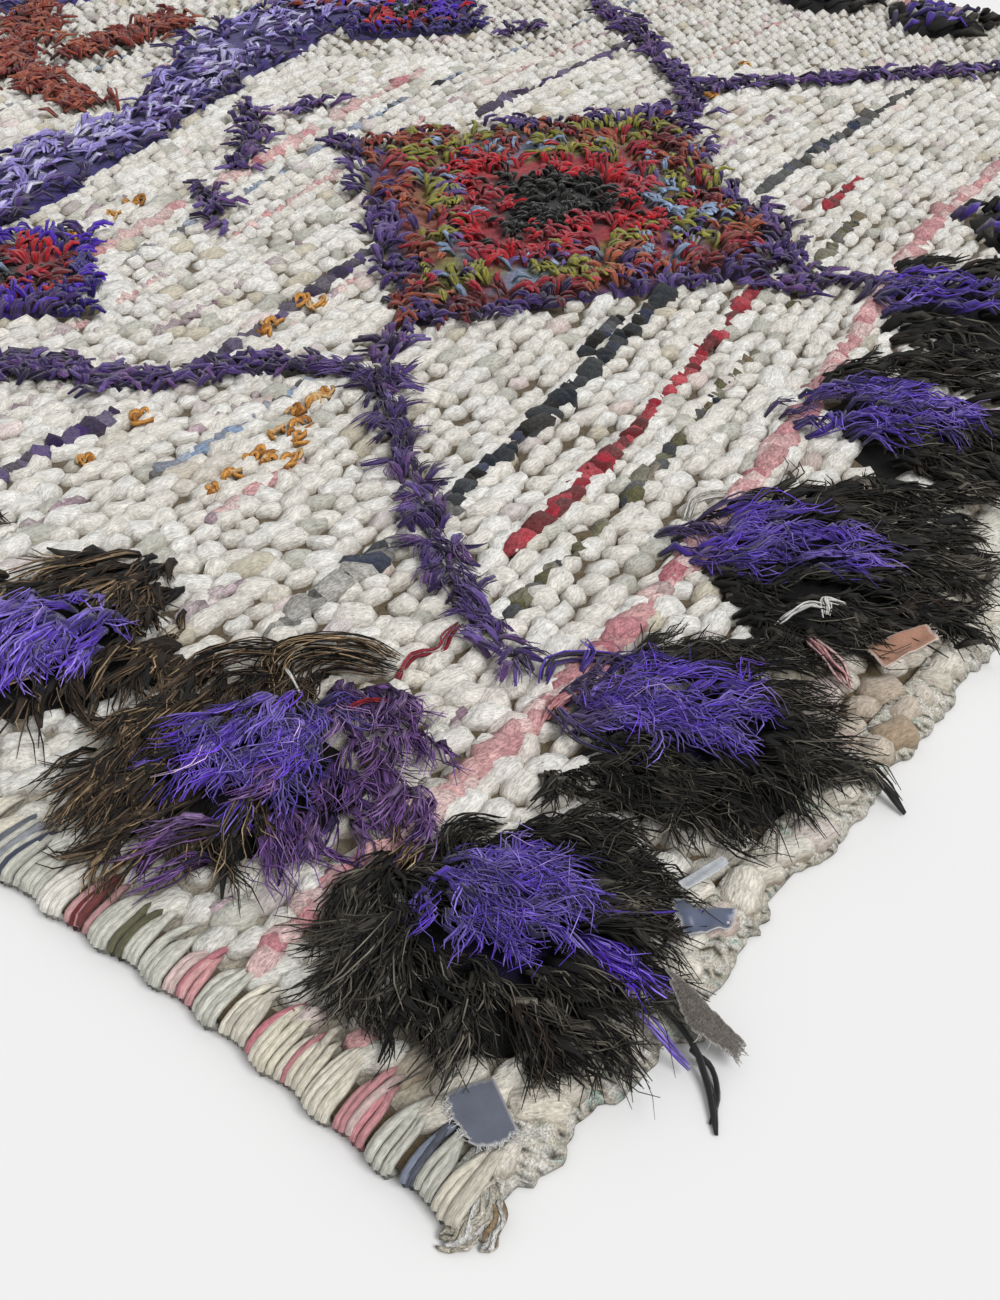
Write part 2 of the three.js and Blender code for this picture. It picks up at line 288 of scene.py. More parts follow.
def yarnFinish(name, look):
    # Yarn or cloth: the tint attribute, broken up by fibres that run along the yarn and by soft clouds,
    # with one bump from lumps in the spinning and one from the fibres. Real fibres are 0.03 mm wide; they
    # are drawn wider, so they show.
    finish = bpy.data.materials.new(name)
    finish.use_nodes = True
    tree = finish.node_tree
    tree.nodes.clear()
    tint = addNode(tree, "Attribute", attribute_name="tint")
    grain = addNode(tree, "Attribute", attribute_name="grain").outputs["Vector"]
    alongScale, acrossScale = 1 / look["fibreLong"], 1 / look["fibreWide"]
    stretch = addNode(tree, "Mapping", {"Vector": grain, "Scale": (alongScale, acrossScale, acrossScale)})
    fibres = addNode(tree, "TexNoise", {"Vector": stretch, "Scale": 1.0, "Detail": 3.0, "Roughness": 0.6})
    patch = addNode(tree, "Mapping", {"Vector": grain, "Scale": (1 / look["patch"],) * 3})
    clouds = addNode(tree, "TexNoise", {"Vector": patch, "Scale": 1.0, "Detail": 3.0})
    streak = addNode(tree, "MapRange", {
        "Value": fibres, "From Min": 0.36, "From Max": 0.64,
        "To Min": look["dark"], "To Max": look["light"]})
    cloud = addNode(tree, "MapRange", {
        "Value": clouds, "From Min": 0.32, "From Max": 0.62, "To Min": look["cloud"], "To Max": 1.04})
    both = addNode(tree, "Math", {0: streak, 1: cloud}, operation="MULTIPLY")
    colour = addNode(tree, "VectorMath", {0: tint, "Scale": both}, operation="SCALE")
    lumps = addNode(tree, "Bump", {"Height": clouds, "Strength": 1.0, "Distance": look["lump"] / 1000})
    bump = addNode(tree, "Bump", {
        "Height": fibres, "Strength": look["bump"], "Distance": look["depth"] / 1000, "Normal": lumps})
    shader = addNode(tree, "BsdfPrincipled", {
        "Base Color": colour, "Normal": bump, "Roughness": look["rough"],
        "Specular IOR Level": look["shine"], "Sheen Weight": look["sheen"], "Sheen Roughness": 0.5})
    addNode(tree, "OutputMaterial", {"Surface": shader})
    return finish


# Each finish: its name, the size of its fibres along and across and of its soft clouds (mm), its darkest
# and lightest fibre, its darkest cloud, the depth of its lumps (mm), the strength and depth (mm) of its
# fibres' bump, and its roughness, shine and sheen.
lookKeys = "fibreLong fibreWide patch dark light cloud lump bump depth rough shine sheen".split()
looks = {
    # carded sheep's wool, spun thick and soft: matt, cloudy, with loose fibres along the yarn
    "cardedWool": ("carded_ivory_wool", 2.8, 0.7, 3.4, 0.68, 1.1, 0.86, 1.7, 0.9, 0.6, 0.95, 0.1, 0.2),
    # thin dyed weft, plied from wool and cotton: matt with clear plies
    "dyedWeft": ("dyed_weft_yarn", 1.8, 0.7, 2.2, 0.6, 1.2, 0.7, 0.9, 0.9, 0.6, 0.92, 0.12, 0.1),
    # hard-twisted selvedge yarn, worn by feet: slightly smoother
    "wrapYarn": ("wrapped_edge_yarn", 2.6, 0.4, 3.5, 0.66, 1.08, 0.82, 0.4, 0.7, 0.35, 0.88, 0.15, 0.1),
    # matted fibre of the torn ends: felted, with no direction
    "felted": ("felted_end_fibre", 0.9, 0.6, 2.4, 0.5, 1.12, 0.75, 0.8, 1.0, 0.9, 0.95, 0.1, 0.1),
    # bright acrylic pile yarn, cut: strands with a silky highlight
    "acrylicPile": ("silky_acrylic_pile", 7.0, 0.6, 5.0, 0.35, 1.5, 0.7, 0.3, 0.9, 0.5, 0.6, 0.3, 0.25),
    # black long-staple wool pile, undyed and sun-worn at its tips: hair-like, dull gloss
    "blackPile": ("black_long_wool_pile", 9.0, 0.55, 6.0, 0.2, 2.4, 0.6, 0.4, 1.0, 0.6, 0.62, 0.25, 0.0),
    # short tufted wool pile of the field's motifs
    "tuftedPile": ("short_tufted_wool_pile", 3.0, 0.7, 3.5, 0.55, 1.3, 0.75, 0.6, 1.0, 0.6, 0.92, 0.1, 0.3),
    # polyester satin offcut: close threads, a soft gloss
    "satin": ("satin_offcut", 2.6, 0.3, 7.0, 0.94, 1.04, 0.86, 0.15, 0.3, 0.08, 0.38, 0.5, 0.2),
    # washed cotton offcut: plain weave, matt
    "cotton": ("washed_cotton_offcut", 0.7, 0.7, 5.0, 0.86, 1.06, 0.86, 0.3, 0.5, 0.2, 0.85, 0.2, 0.1),
}
finishes = {key: yarnFinish(name, dict(zip(lookKeys, row))) for key, (name, *row) in looks.items()}
print("finishes made")

shot = {
    "camera": (-151.8, -131.4, 348.0),
    "heading": (0.776, 0.630),
    "pitch": 38.26,
    "lens": 40.37,
    "world": 0.48,          # light of the surroundings
    "worldSeen": 0.9,       # how bright they look to the camera
    "sun": 2.05,
    "sunTilt": (34, -24, 20),
    "sunSpread": 28,
    "floor": "#f4f4f4",
    "floorReach": 8.0,      # metres
}


def setStage():
    # The camera looks along (heading cos(pitch), -sin(pitch)). One broad sun and an even world light the
    # cloth, and a pale board lies under it.
    lens = bpy.data.cameras.new("camera")
    lens.lens = shot["lens"]
    lens.sensor_width = 36
    lens.clip_start = 0.01
    eye = addObject("camera", lens)
    eye.location = (np.array(shot["camera"]) + corner) / 1000
    pitch = math.radians(shot["pitch"])
    gaze = Vector((*(np.array(shot["heading"]) * math.cos(pitch)), -math.sin(pitch)))
    eye.rotation_euler = gaze.to_track_quat("-Z", "Y").to_euler()
    bpy.context.scene.camera = eye

    sun = bpy.data.lights.new("soft_key", "SUN")
    sun.energy = shot["sun"]
    sun.angle = math.radians(shot["sunSpread"])
    addObject("soft_key", sun).rotation_euler = [math.radians(a) for a in shot["sunTilt"]]

    world = bpy.data.worlds.new("studio")
    world.use_nodes = True
    tree = world.node_tree
    tree.nodes.clear()
    path = addNode(tree, "LightPath")
    seen = path.outputs["Is Camera Ray"]
    for ray in ("Is Glossy Ray", "Is Transmission Ray"):
        seen = addNode(tree, "Math", {0: seen, 1: path.outputs[ray]}, operation="MAXIMUM")
    level = addNode(tree, "MapRange", {"Value": seen, "To Min": shot["world"], "To Max": shot["worldSeen"]})
    glow = addNode(tree, "Background", {"Color": (1.0, 1.0, 1.0, 1.0), "Strength": level})
    addNode(tree, "OutputWorld", {"Surface": glow})
    bpy.context.scene.world = world

    # painted board floor: plain, matt, pale
    board = bpy.data.materials.new("matt_painted_board")
    board.use_nodes = True
    paint = board.node_tree.nodes["Principled BSDF"]
    paint.inputs["Base Color"].default_value = (*linear(shot["floor"]), 1)
    paint.inputs["Roughness"].default_value = 1.0
    paint.inputs["Specular IOR Level"].default_value = 0.0
    far = shot["floorReach"]
    mesh = bpy.data.meshes.new("floor")
    mesh.from_pydata([(-far, -far, 0), (far, -far, 0), (far, far, 0), (-far, far, 0)], [], [(0, 1, 2, 3)])
    mesh.materials.append(board)
    addObject("floor", mesh)
    bpy.context.scene.view_settings.view_transform = "Standard"


setStage()
print("stage set")

# Where the border's lozenges and the field's motifs are, which the weave leaves room for.
border = {
    "near": [(72, 43), (187, 43), (308, 54), (430, 53), (568, 55)],
    "inset": 74.0,
    "farInset": 44.0,
    "endInset": 48.0,
    "acrossPitch": 118.0,
    "alongPitch": 113.0,
    "across": 58.0,         # half width of a lozenge
    "along": 56.0,
    "loft": 5.0,            # how high its packed pile stands over the weave
    "bed": (42, 40, 4.0, cloth["top"] + 1.6),   # half sizes, foot and top of the dark mound under the pile, painted shade in its gaps
}
motifs = {                  # x, t, half width across and along
    "big": (548, 322, 201, 177),
    "left": (268, 553, 76, 84),
    "right": (805, 632, 92, 80),
}
# the belt: x, t and half width along it
belt = {
    "x": (95, 240, 400, 485, 560, 650, 720, 820, 1015),
    "t": (630, 636, 650, 640, 662, 690, 705, 690, 660),
    "half": (34, 38, 42, 24, 36, 54, 52, 46, 38),
    "count": 860,
    "long": (15, 26),
    "dyes": "beltBlue beltLight beltDeep plumLight",
    "shares": [0.46, 0.34, 0.06, 0.14],
    "dark": (-0.62, 0.12),      # where across it its dark edge begins, and how raggedly
    "blue": (0.7, 0.1),         # the same for its blue one
    "turn": 0.35,           # how far tufts turn from the row
    "mirrorShare": 0.35,    # tufts of the mirrored belt
}
farthest = 9999             # beyond everything, in millimetres


def lozengeCentres():
    # lozenges go round the rug at even steps between the corners, as the near ones show
    centres = [tuple(map(float, c)) for c in border["near"]]
    farX, farT = cloth["width"] - border["farInset"], cloth["length"] - border["endInset"]
    lastX = centres[-1][0]
    rest = round((farX - lastX) / border["acrossPitch"])
    centres += [(blendTo(lastX, farX, i / rest), border["endInset"]) for i in range(1, rest + 1)]
    along = round((farT - border["endInset"]) / border["alongPitch"])
    for i in range(1, along + 1):
        t = blendTo(border["endInset"], farT, i / along)
        centres += [(border["inset"], t), (farX, t)]
    across = round((farX - border["inset"]) / border["acrossPitch"])
    centres += [(blendTo(border["inset"], farX, i / across), farT) for i in range(1, across)]
    return np.array(centres)


lozenges = lozengeCentres()


def inDiamond(x, t, row):
    # |dx| / across + |dt| / along, below 1 inside; row is x, t, across, along
    return np.abs(x - row[0]) / row[2] + np.abs(t - row[1]) / row[3]


def borderDepth(x, t):
    # smallest of rounded(dx / across, dt / along) over the lozenges
    u = (x[..., None] - lozenges[:, 0]) / border["across"]
    return rounded(u, (t[..., None] - lozenges[:, 1]) / border["along"]).min(axis=-1)


def offMotifs(x, t, least):
    # true where the weave shows, outside the field's motifs and their mirrored ones
    clear = np.ones(len(x), bool)
    for row in motifs.values():
        for centre in (row[1], mirrored(row[1])):
            clear &= inDiamond(x, t, (row[0], centre, row[2], row[3])) > least
    return clear


weft = {
    "rowPitch": 11.0,
    "beadPitch": 12.7,      # one puff of roving between two warps
    "firstRow": 6.0,
    "edge": 20.0,           # the wrapped selvedge takes over here
    "half": (8.0, 6.3, 5.9),    # half length, width and height of a puff
    "middle": 3.7,
    "slant": math.radians(-17),
    "lean": 1.0,            # each puff's right end rides up on the next
    "uneven": 0.13,
    # how puffs differ: turn, share of length, bow aside, tilt and height; how far their ends dip, how
    # their section swells, and how far it follows the rows apart
    "turn": 0.3, "lengthSpread": 0.15, "bow": 0.9, "tilt": 0.4, "rise": 0.55, "dip": 1.3, "swell": 0.65,
    "stretch": (0.8, 1.7),
    # the plain far puffs: turn, height and size by chance, and their length and width beside half
    "plain": {"turn": 0.15, "rise": 0.4, "uneven": 0.12, "long": 1.1, "wide": 1.3},
    "jitter": (1.4, 0.8),   # how far puffs stray by chance, across and along, in millimetres
    "drift": (1.2, 47),     # how far a row strays from its line, and how slowly
    # how finely puffs are made, by how far they are from the corner: name, to, rings, sides, lumps, the
    # slack to each side of the diagonal strip that is looked at from the corner, and how deep their painted
    # shade gets
    "grades": [
        ("weft_puffs_near", 250, 9, 11, 1.5, 999, 0.95), ("weft_puffs_middle", 540, 6, 8, 1.4, 25, 0.9),
        ("weft_puffs_beyond", 980, 4, 6, 1.2, 12, 0.55),
    ],
    # farDark: how deep the painted shade on the plain far puffs gets
    "farDark": 0.25,
    "darkFrom": (3.0, 8.2),     # heights between which a puff goes from painted shade to its own colour
    "farDarkFrom": (2.8, 7.4),
    "lozengeGap": 0.72,     # puffs stop at this share of a lozenge's size
    "motifGap": 0.93,
    "beltGap": 5.0,
    "strip": (0.776, 0.630, 130, 0.27),     # its direction, half width at the corner, and how it widens
}
bed = {
    "columns": 26,
    "rows": 40,
    "dark": 0.8,            # shares of the groove's colour near, and of cream under the plain puffs: painted shade at the floor of the grooves
    "light": 0.45,
    "lightFrom": (-20, 60),     # millimetres outside the strip
    "rim": (20, 70),        # millimetres inside the selvedge
}


def offStrip(x, y):
    # distance outside the diagonal strip that is looked at from the corner
    alongX, alongY, half, widen = weft["strip"]
    return np.abs(x * alongY - y * alongX) - half - widen * (x * alongX + y * alongY)


def makeBed():
    # the floor of the grooves, painted dark as their shade and lighter where the puffs are plain: a slab
    # inset from the cloth's outline, from z = 0 to bedTop; near the selvedges its painted shade takes an
    # oat tone
    inset = cloth["bedInset"]
    u, v = np.meshgrid(np.linspace(0, 1, bed["columns"]), np.linspace(0, 1, bed["rows"]), indexing="ij")
    x = blendTo(inset, cloth["width"] - inset, u)
    t = blendTo(inset, cloth["length"] - inset, v)
    off = offStrip(x.ravel(), (t + rowShift(x, t)).ravel())
    pale = smooth(off, *bed["lightFrom"])[:, None]
    tint = blendTo(dye["groove"] * bed["dark"], dye["cream"] * bed["light"], pale)
    part = slabOf(toPlan(x, t, cloth["bedTop"]), toPlan(x, t, 0.0), tint)
    part["tint"][x.size:] = dye["oat"]
    rim = 1 - smooth(np.minimum(x, cloth["width"] - x).ravel(), *bed["rim"])
    part["tint"][:x.size] = blendTo(part["tint"][:x.size], dye["oat"] * bed["dark"], rim[:, None])
    return part


def beadSet(x, t, half, tint, rings, sides, lumpy, middle, uneven, lean):
    # A puff: its line runs at the slant to the row, half[0] to each side of its middle, and climbs by lean;
    # its ends dip, and its section swells as a power of sin(theta). Lumps are low sines of theta and of the
    # angle round it. half holds half its length, width and height.
    count = len(x)
    theta = np.linspace(0.2, np.pi - 0.2, rings)
    u = -np.cos(theta)
    size = draw.normal(1, uneven, (count, 1))
    angle = np.arctan(rowSlope(x, t)) + weft["slant"] + draw.normal(0, weft["turn"], count)
    stretch = np.clip(rowSpread(x, t, 6), *weft["stretch"])[:, None]
    reach = half[0] * size * draw.normal(1, weft["lengthSpread"], (count, 1)) * u
    bow = draw.normal(0, weft["bow"], (count, 1)) * (1 - u ** 2)
    tilt = draw.normal(lean, weft["tilt"], (count, 1))
    z = middle + draw.normal(0, weft["rise"], (count, 1)) + tilt * u - weft["dip"] * u ** 4
    centre = toPlan(x, t, 0 * x)
    cosine, sine = np.cos(angle)[:, None], np.sin(angle)[:, None]
    paths = np.stack([centre[:, 0:1] + reach * cosine - bow * sine,
                      centre[:, 1:2] + reach * sine + bow * cosine, z], axis=2)
    swell = np.sin(theta) ** weft["swell"]
    wide = half[1] * size * stretch * swell
    high = half[2] * blendTo(1, size, 0.5) * swell
    a = 2 * np.pi * (np.arange(sides) + 0.5) / sides
    p = draw.uniform(0, 2 * np.pi, (4, count, 1, 1))
    line = theta[None, :, None]
    lumps = 1 + lumpy * (0.07 * np.sin(2 * a + p[0] + 1.5 * line) + 0.06 * np.sin(3 * a + p[1] - line)
                         + 0.07 * np.sin(4.6 * line + p[2]) + 0.05 * np.sin(5 * a + 3 * line + p[3]))
    return carry(paths, wide, high, sides, tint, lumps)


# Where wear and dye from the neighbours have coloured the wool: x, y, radius, dye, share.
smudges = [
    (24, 41, 9, "tan", 0.5), (17, 20, 8, "rustLight", 0.22), (33, -1, 12, "tan", 0.4),
    (60, 4, 16, "oat", 0.6), (150, 110, 16, "pink", 0.16), (120, 190, 24, "tan", 0.3),
    (196, 330, 18, "tan", 0.3),
    (300, 20, 34, "endCream", 0.5), (250, 8, 20, "pink", 0.2), (230, 10, 20, "tan", 0.9),
    (250, 20, 10, "tan", 0.7), (95, 150, 40, "tan", 0.2),
]


def pebbleSet(x, t, half, tint, middle):
    # the far puffs: six points each, long in the way of the row and as wide as the rows are apart
    count, plain = len(x), weft["plain"]
    angle = np.arctan(rowSlope(x, t)) + weft["slant"] + draw.normal(0, plain["turn"], count)
    along = np.stack([np.cos(angle), np.sin(angle), 0 * angle], axis=1)
    aside = np.stack([-np.sin(angle), np.cos(angle), 0 * angle], axis=1)
    centre = toPlan(x, t, middle + draw.normal(0, plain["rise"], count))
    size = draw.normal(1, plain["uneven"], (count, 1))
    up = np.array([0.0, 0.0, half[2]])
    reach = half[0] * plain["long"] * size * along
    wide = half[1] * plain["wide"] * size * rowSpread(x, t, 4)[:, None] * aside
    six = [centre - reach, centre - wide, centre + up, centre + wide, centre - up, centre + reach]
    points = np.stack(six, axis=1)
    one = np.array([(0, 1, 2), (0, 2, 3), (0, 3, 4), (0, 4, 1), (5, 2, 1), (5, 3, 2), (5, 4, 3), (5, 1, 4)])
    faces = (one[None] + 6 * np.arange(count)[:, None, None]).reshape(-1, 3)
    flat = points.reshape(-1, 3)
    return {"points": flat, "faces": [faces], "tint": np.repeat(tint, 6, axis=0), "grain": flat}


cream = {
    "dyes": "cream ivory oat greige",
    "shares": [0.5, 0.39, 0.03, 0.08],
    # near the selvedges and the ends: dye, share, and the distances from full to none
    "edge": ("greige", 0.5, 12, 60),
    "end": ("endCream", 0.6, 8, 45),
    # stained puffs: shares of the puffs from and to, dye, share
    "stains": ((0.0, 0.014, "pink", 0.3), (0.014, 0.03, "mauve", 0.35), (0.03, 0.045, "oat", 0.5)),
}


def creamTints(x, t):
    # ivory in the field, oat and sage near the selvedge and the end, with a few stained puffs
    count = len(x)
    tint = mixDyes(cream["dyes"], count, cream["shares"])
    for key, at, size in (("edge", x, cloth["width"]), ("end", t, cloth["length"])):
        name, most, low, high = cream[key]
        share = most * (1 - smooth(np.minimum(at, size - at), low, high))
        tint = blendTo(tint, dye[name], share[:, None])
    stained = draw.uniform(0, 1, count)
    for low, high, name, share in cream["stains"]:
        hit = (stained >= low) & (stained < high)
        tint[hit] = blendTo(tint[hit], dye[name], share)
    y = t + rowShift(x, t)
    for px, py, radius, name, share in smudges:
        near = np.exp(-(((x - px) ** 2 + (y - py) ** 2) / radius ** 2))
        tint = blendTo(tint, dye[name], (share * near)[:, None] * draw.uniform(0.4, 1.3, (count, 1)))
    return tint * draw.normal(1, 0.03, (count, 1))


def puffPlaces():
    # brick layout: every other row is half a pitch on, with a little jitter
    rows = np.arange(int((cloth["length"] - 8) / weft["rowPitch"]))
    columns = np.arange(int((cloth["width"] - 2 * weft["edge"]) / weft["beadPitch"]) + 1)
    row, column = np.meshgrid(rows, columns, indexing="ij")
    x = weft["edge"] + (column + 0.5 * (row % 2)) * weft["beadPitch"]
    t = weft["firstRow"] + row * weft["rowPitch"]
    x = x + 2.2 * np.sin(row * 1.7 + column * 0.23)
    x, t = x.ravel(), t.ravel().astype(float)
    (across, along), (drift, slow) = weft["jitter"], weft["drift"]
    x += draw.normal(0, across, x.size)
    t += draw.normal(0, along, t.size) + drift * np.sin(x / slow + 0.9 * np.sin(t / 90))
    clear = (x < cloth["width"] - weft["edge"]) & (borderDepth(x, t) > weft["lozengeGap"])
    clear &= offMotifs(x, t, weft["motifGap"])
    gap = weft["beltGap"]
    for at in (t, mirrored(t)):
        off = np.abs(at - np.interp(x, belt["x"], belt["t"])) > np.interp(x, belt["x"], belt["half"]) - gap
        clear &= off | (x < belt["x"][0] + gap) | (x > belt["x"][-1] - gap)
    return x[clear], t[clear]


# Dyes spun together in each kind of row.
plies = {
    "pink": "pink rose pink pinkLight", "rose": "rose pink pinkLight mauve",
    "crimson": "crimson crimson redLight darkRed", "olive": "olive ink groove olive",
    "ink": "ink soot ink navy ink", "mauve": "mauve mauveDeep greige",
    "greyBlue": "greyBlue lightBlue ink", "plum": "plum plumDark plumDark",
    "orange": "orange amber oat",
}
# Single rows of dyed yarn: warp position, x from and to, dye, and how broken up the row is.
dyedRows = [
    (103, 18, 1090, "pink", 0.1), (143, 206, 650, "olive", 0.12), (165, 238, 590, "crimson", 0.0),
    (209, 140, 258, "ink", 0.42), (209, 258, 500, "ink", 0.0), (220, 400, 446, "ink", 0.05),
    (214, 644, 898, "ink", 0.1), (241, 120, 262, "mauve", 0.4),
    (326, 140, 292, "greyBlue", 0.2), (346, 108, 290, "mauve", 0.3), (386, 110, 436, "plum", 0.08),
    (440, 652, 876, "plum", 0.1), (126, 20, 150, "mauve", 0.3), (60, 16, 60, "rose", 0.1),
    (166, 652, 705, "crimson", 0.0), (142, 572, 650, "olive", 0.1), (283, 110, 240, "rose", 0.4),
    (268, 600, 1000, "mauve", 0.4), (376, 330, 1080, "rose", 0.45), (432, 110, 640, "mauve", 0.4),
    (470, 20, 1090, "rose", 0.4), (506, 330, 1090, "greyBlue", 0.3), (528, 20, 700, "pink", 0.4),
    (574, 360, 1000, "mauve", 0.4), (712, 20, 1090, "rose", 0.4), (754, 110, 900, "greyBlue", 0.3),
    (790, 330, 1090, "mauve", 0.4),
]
thinWeft = {
    "pitch": 5.2,
    "half": (5.6, 4.1, 3.3),
    "middle": 6.5,
    "thickRise": 2.2,       # how much higher a thick row lies
    "tintSpread": 0.1,
    "faded": (1.3, 0.6, 0.06),      # cream in a broken row: per share of gaps, most, and least
    "uneven": 0.26,
    "wander": 0.9,
    "thick": {"pink": 1.4, "crimson": 1.2, "ink": 1.3, "plum": 1.3, "rose": 0.85, "mauve": 0.85,
              "greyBlue": 0.85},
    "gapPitch": 26.0,       # gaps in a row come in stretches of about this length
    "lozengeGap": 0.8,
    "motifGap": 0.95,
    # distance from the corner from and to, rings, sides, and the share of the puffs that is kept
    "grades": ((0, 420, 5, 5, 1.0), (420, 880, 3, 5, 1.0), (880, farthest, 3, 3, 0.5)),
    "lumps": 1.8,
    "lean": 0.4,
    # heights between which a dyed puff goes from painted shade to its own colour, and the deepest share of
    # that shade
    "darkFrom": (3.5, 6.5),
    "dark": 0.5,
}


def dyedPlaces():
    # every dyed row of the near half, and the same rows mirrored in the far half
    found = []
    (drift, slow), (faded, most, least) = weft["drift"], thinWeft["faded"]
    for t, low, high, name, broken in dyedRows:
        for at in (t, mirrored(t)):
            step = weft["rowPitch"]
            groove = weft["firstRow"] + (round((at - weft["firstRow"]) / step - 0.5) + 0.5) * step
            x = np.arange(low, high, thinWeft["pitch"])
            # gaps come in stretches: value noise set against the row's share
            stops = draw.uniform(0, 1, int((high - low) / thinWeft["gapPitch"]) + 3)
            keep = np.interp((x - low) / thinWeft["gapPitch"], np.arange(len(stops)), stops) > broken
            tint = mixDyes(plies.get(name, name), x.size)
            tint = tint * draw.normal(1, thinWeft["tintSpread"], (x.size, 1))
            pale = draw.uniform(0, min(faded * broken, most) + least, (x.size, 1))
            tint = blendTo(tint, dye["cream"], pale)
            place = groove + draw.normal(0, thinWeft["wander"], x.size) + drift * np.sin(x / slow)
            thick = np.full(x.size, thinWeft["thick"].get(name, 1.0))
            found.append(np.column_stack([x, place, thick, tint])[keep])
    places = np.concatenate(found)
    x, t = places[:, 0], places[:, 1]
    return places[(borderDepth(x, t) > thinWeft["lozengeGap"]) & offMotifs(x, t, thinWeft["motifGap"])]


def makeWeave():
    # the slab under the weave, puffs of roving by grade, the plain far ones, and the dyed rows over them
    slab = addPiece("rug_ground", makeBed(), "cardedWool")
    x, t = puffPlaces()
    y = t + rowShift(x, t)
    away = np.hypot(x, y)
    off = offStrip(x, y)
    made, low = [], 0
    rest = np.ones(len(x), bool)
    for name, high, rings, sides, lumpy, slack, deepest in weft["grades"]:
        chosen = (away >= low) & (away < high) & (off < slack)
        rest &= ~chosen
        px, pt = x[chosen], t[chosen]
        part = beadSet(px, pt, weft["half"], creamTints(px, pt), rings, sides, lumpy, weft["middle"],
                       weft["uneven"], weft["lean"])
        made.append(addPiece(name, shadeLow(part, *weft["darkFrom"], deepest), "cardedWool"))
        low = high
    px, pt = x[rest], t[rest]
    part = pebbleSet(px, pt, weft["half"], creamTints(px, pt), weft["middle"])
    part = shadeLow(part, *weft["farDarkFrom"], weft["farDark"])
    made.append(addPiece("weft_puffs_far", part, "cardedWool"))
    rows = dyedPlaces()
    x, t, thick, tint = rows[:, 0], rows[:, 1], rows[:, 2], rows[:, 3:]
    away = np.hypot(x, t + rowShift(x, t))
    sets = []
    for low, high, rings, sides, share in thinWeft["grades"]:
        for size in np.unique(thick):
            chosen = (away >= low) & (away < high) & (thick == size) & (np.arange(len(x)) % 2 < 2 * share)
            half = [part * size for part in thinWeft["half"]]
            middle = thinWeft["middle"] + thinWeft["thickRise"] * (size - 1)
            sets.append(beadSet(x[chosen], t[chosen], half, tint[chosen], rings, sides, thinWeft["lumps"],
                                middle, thinWeft["uneven"], thinWeft["lean"]))
    part = shadeLow(gather(sets), *thinWeft["darkFrom"], thinWeft["dark"])
    made.append(addPiece("dyed_weft_rows", part, "dyedWeft"))
    return slab, made


ground, weavePieces = makeWeave()

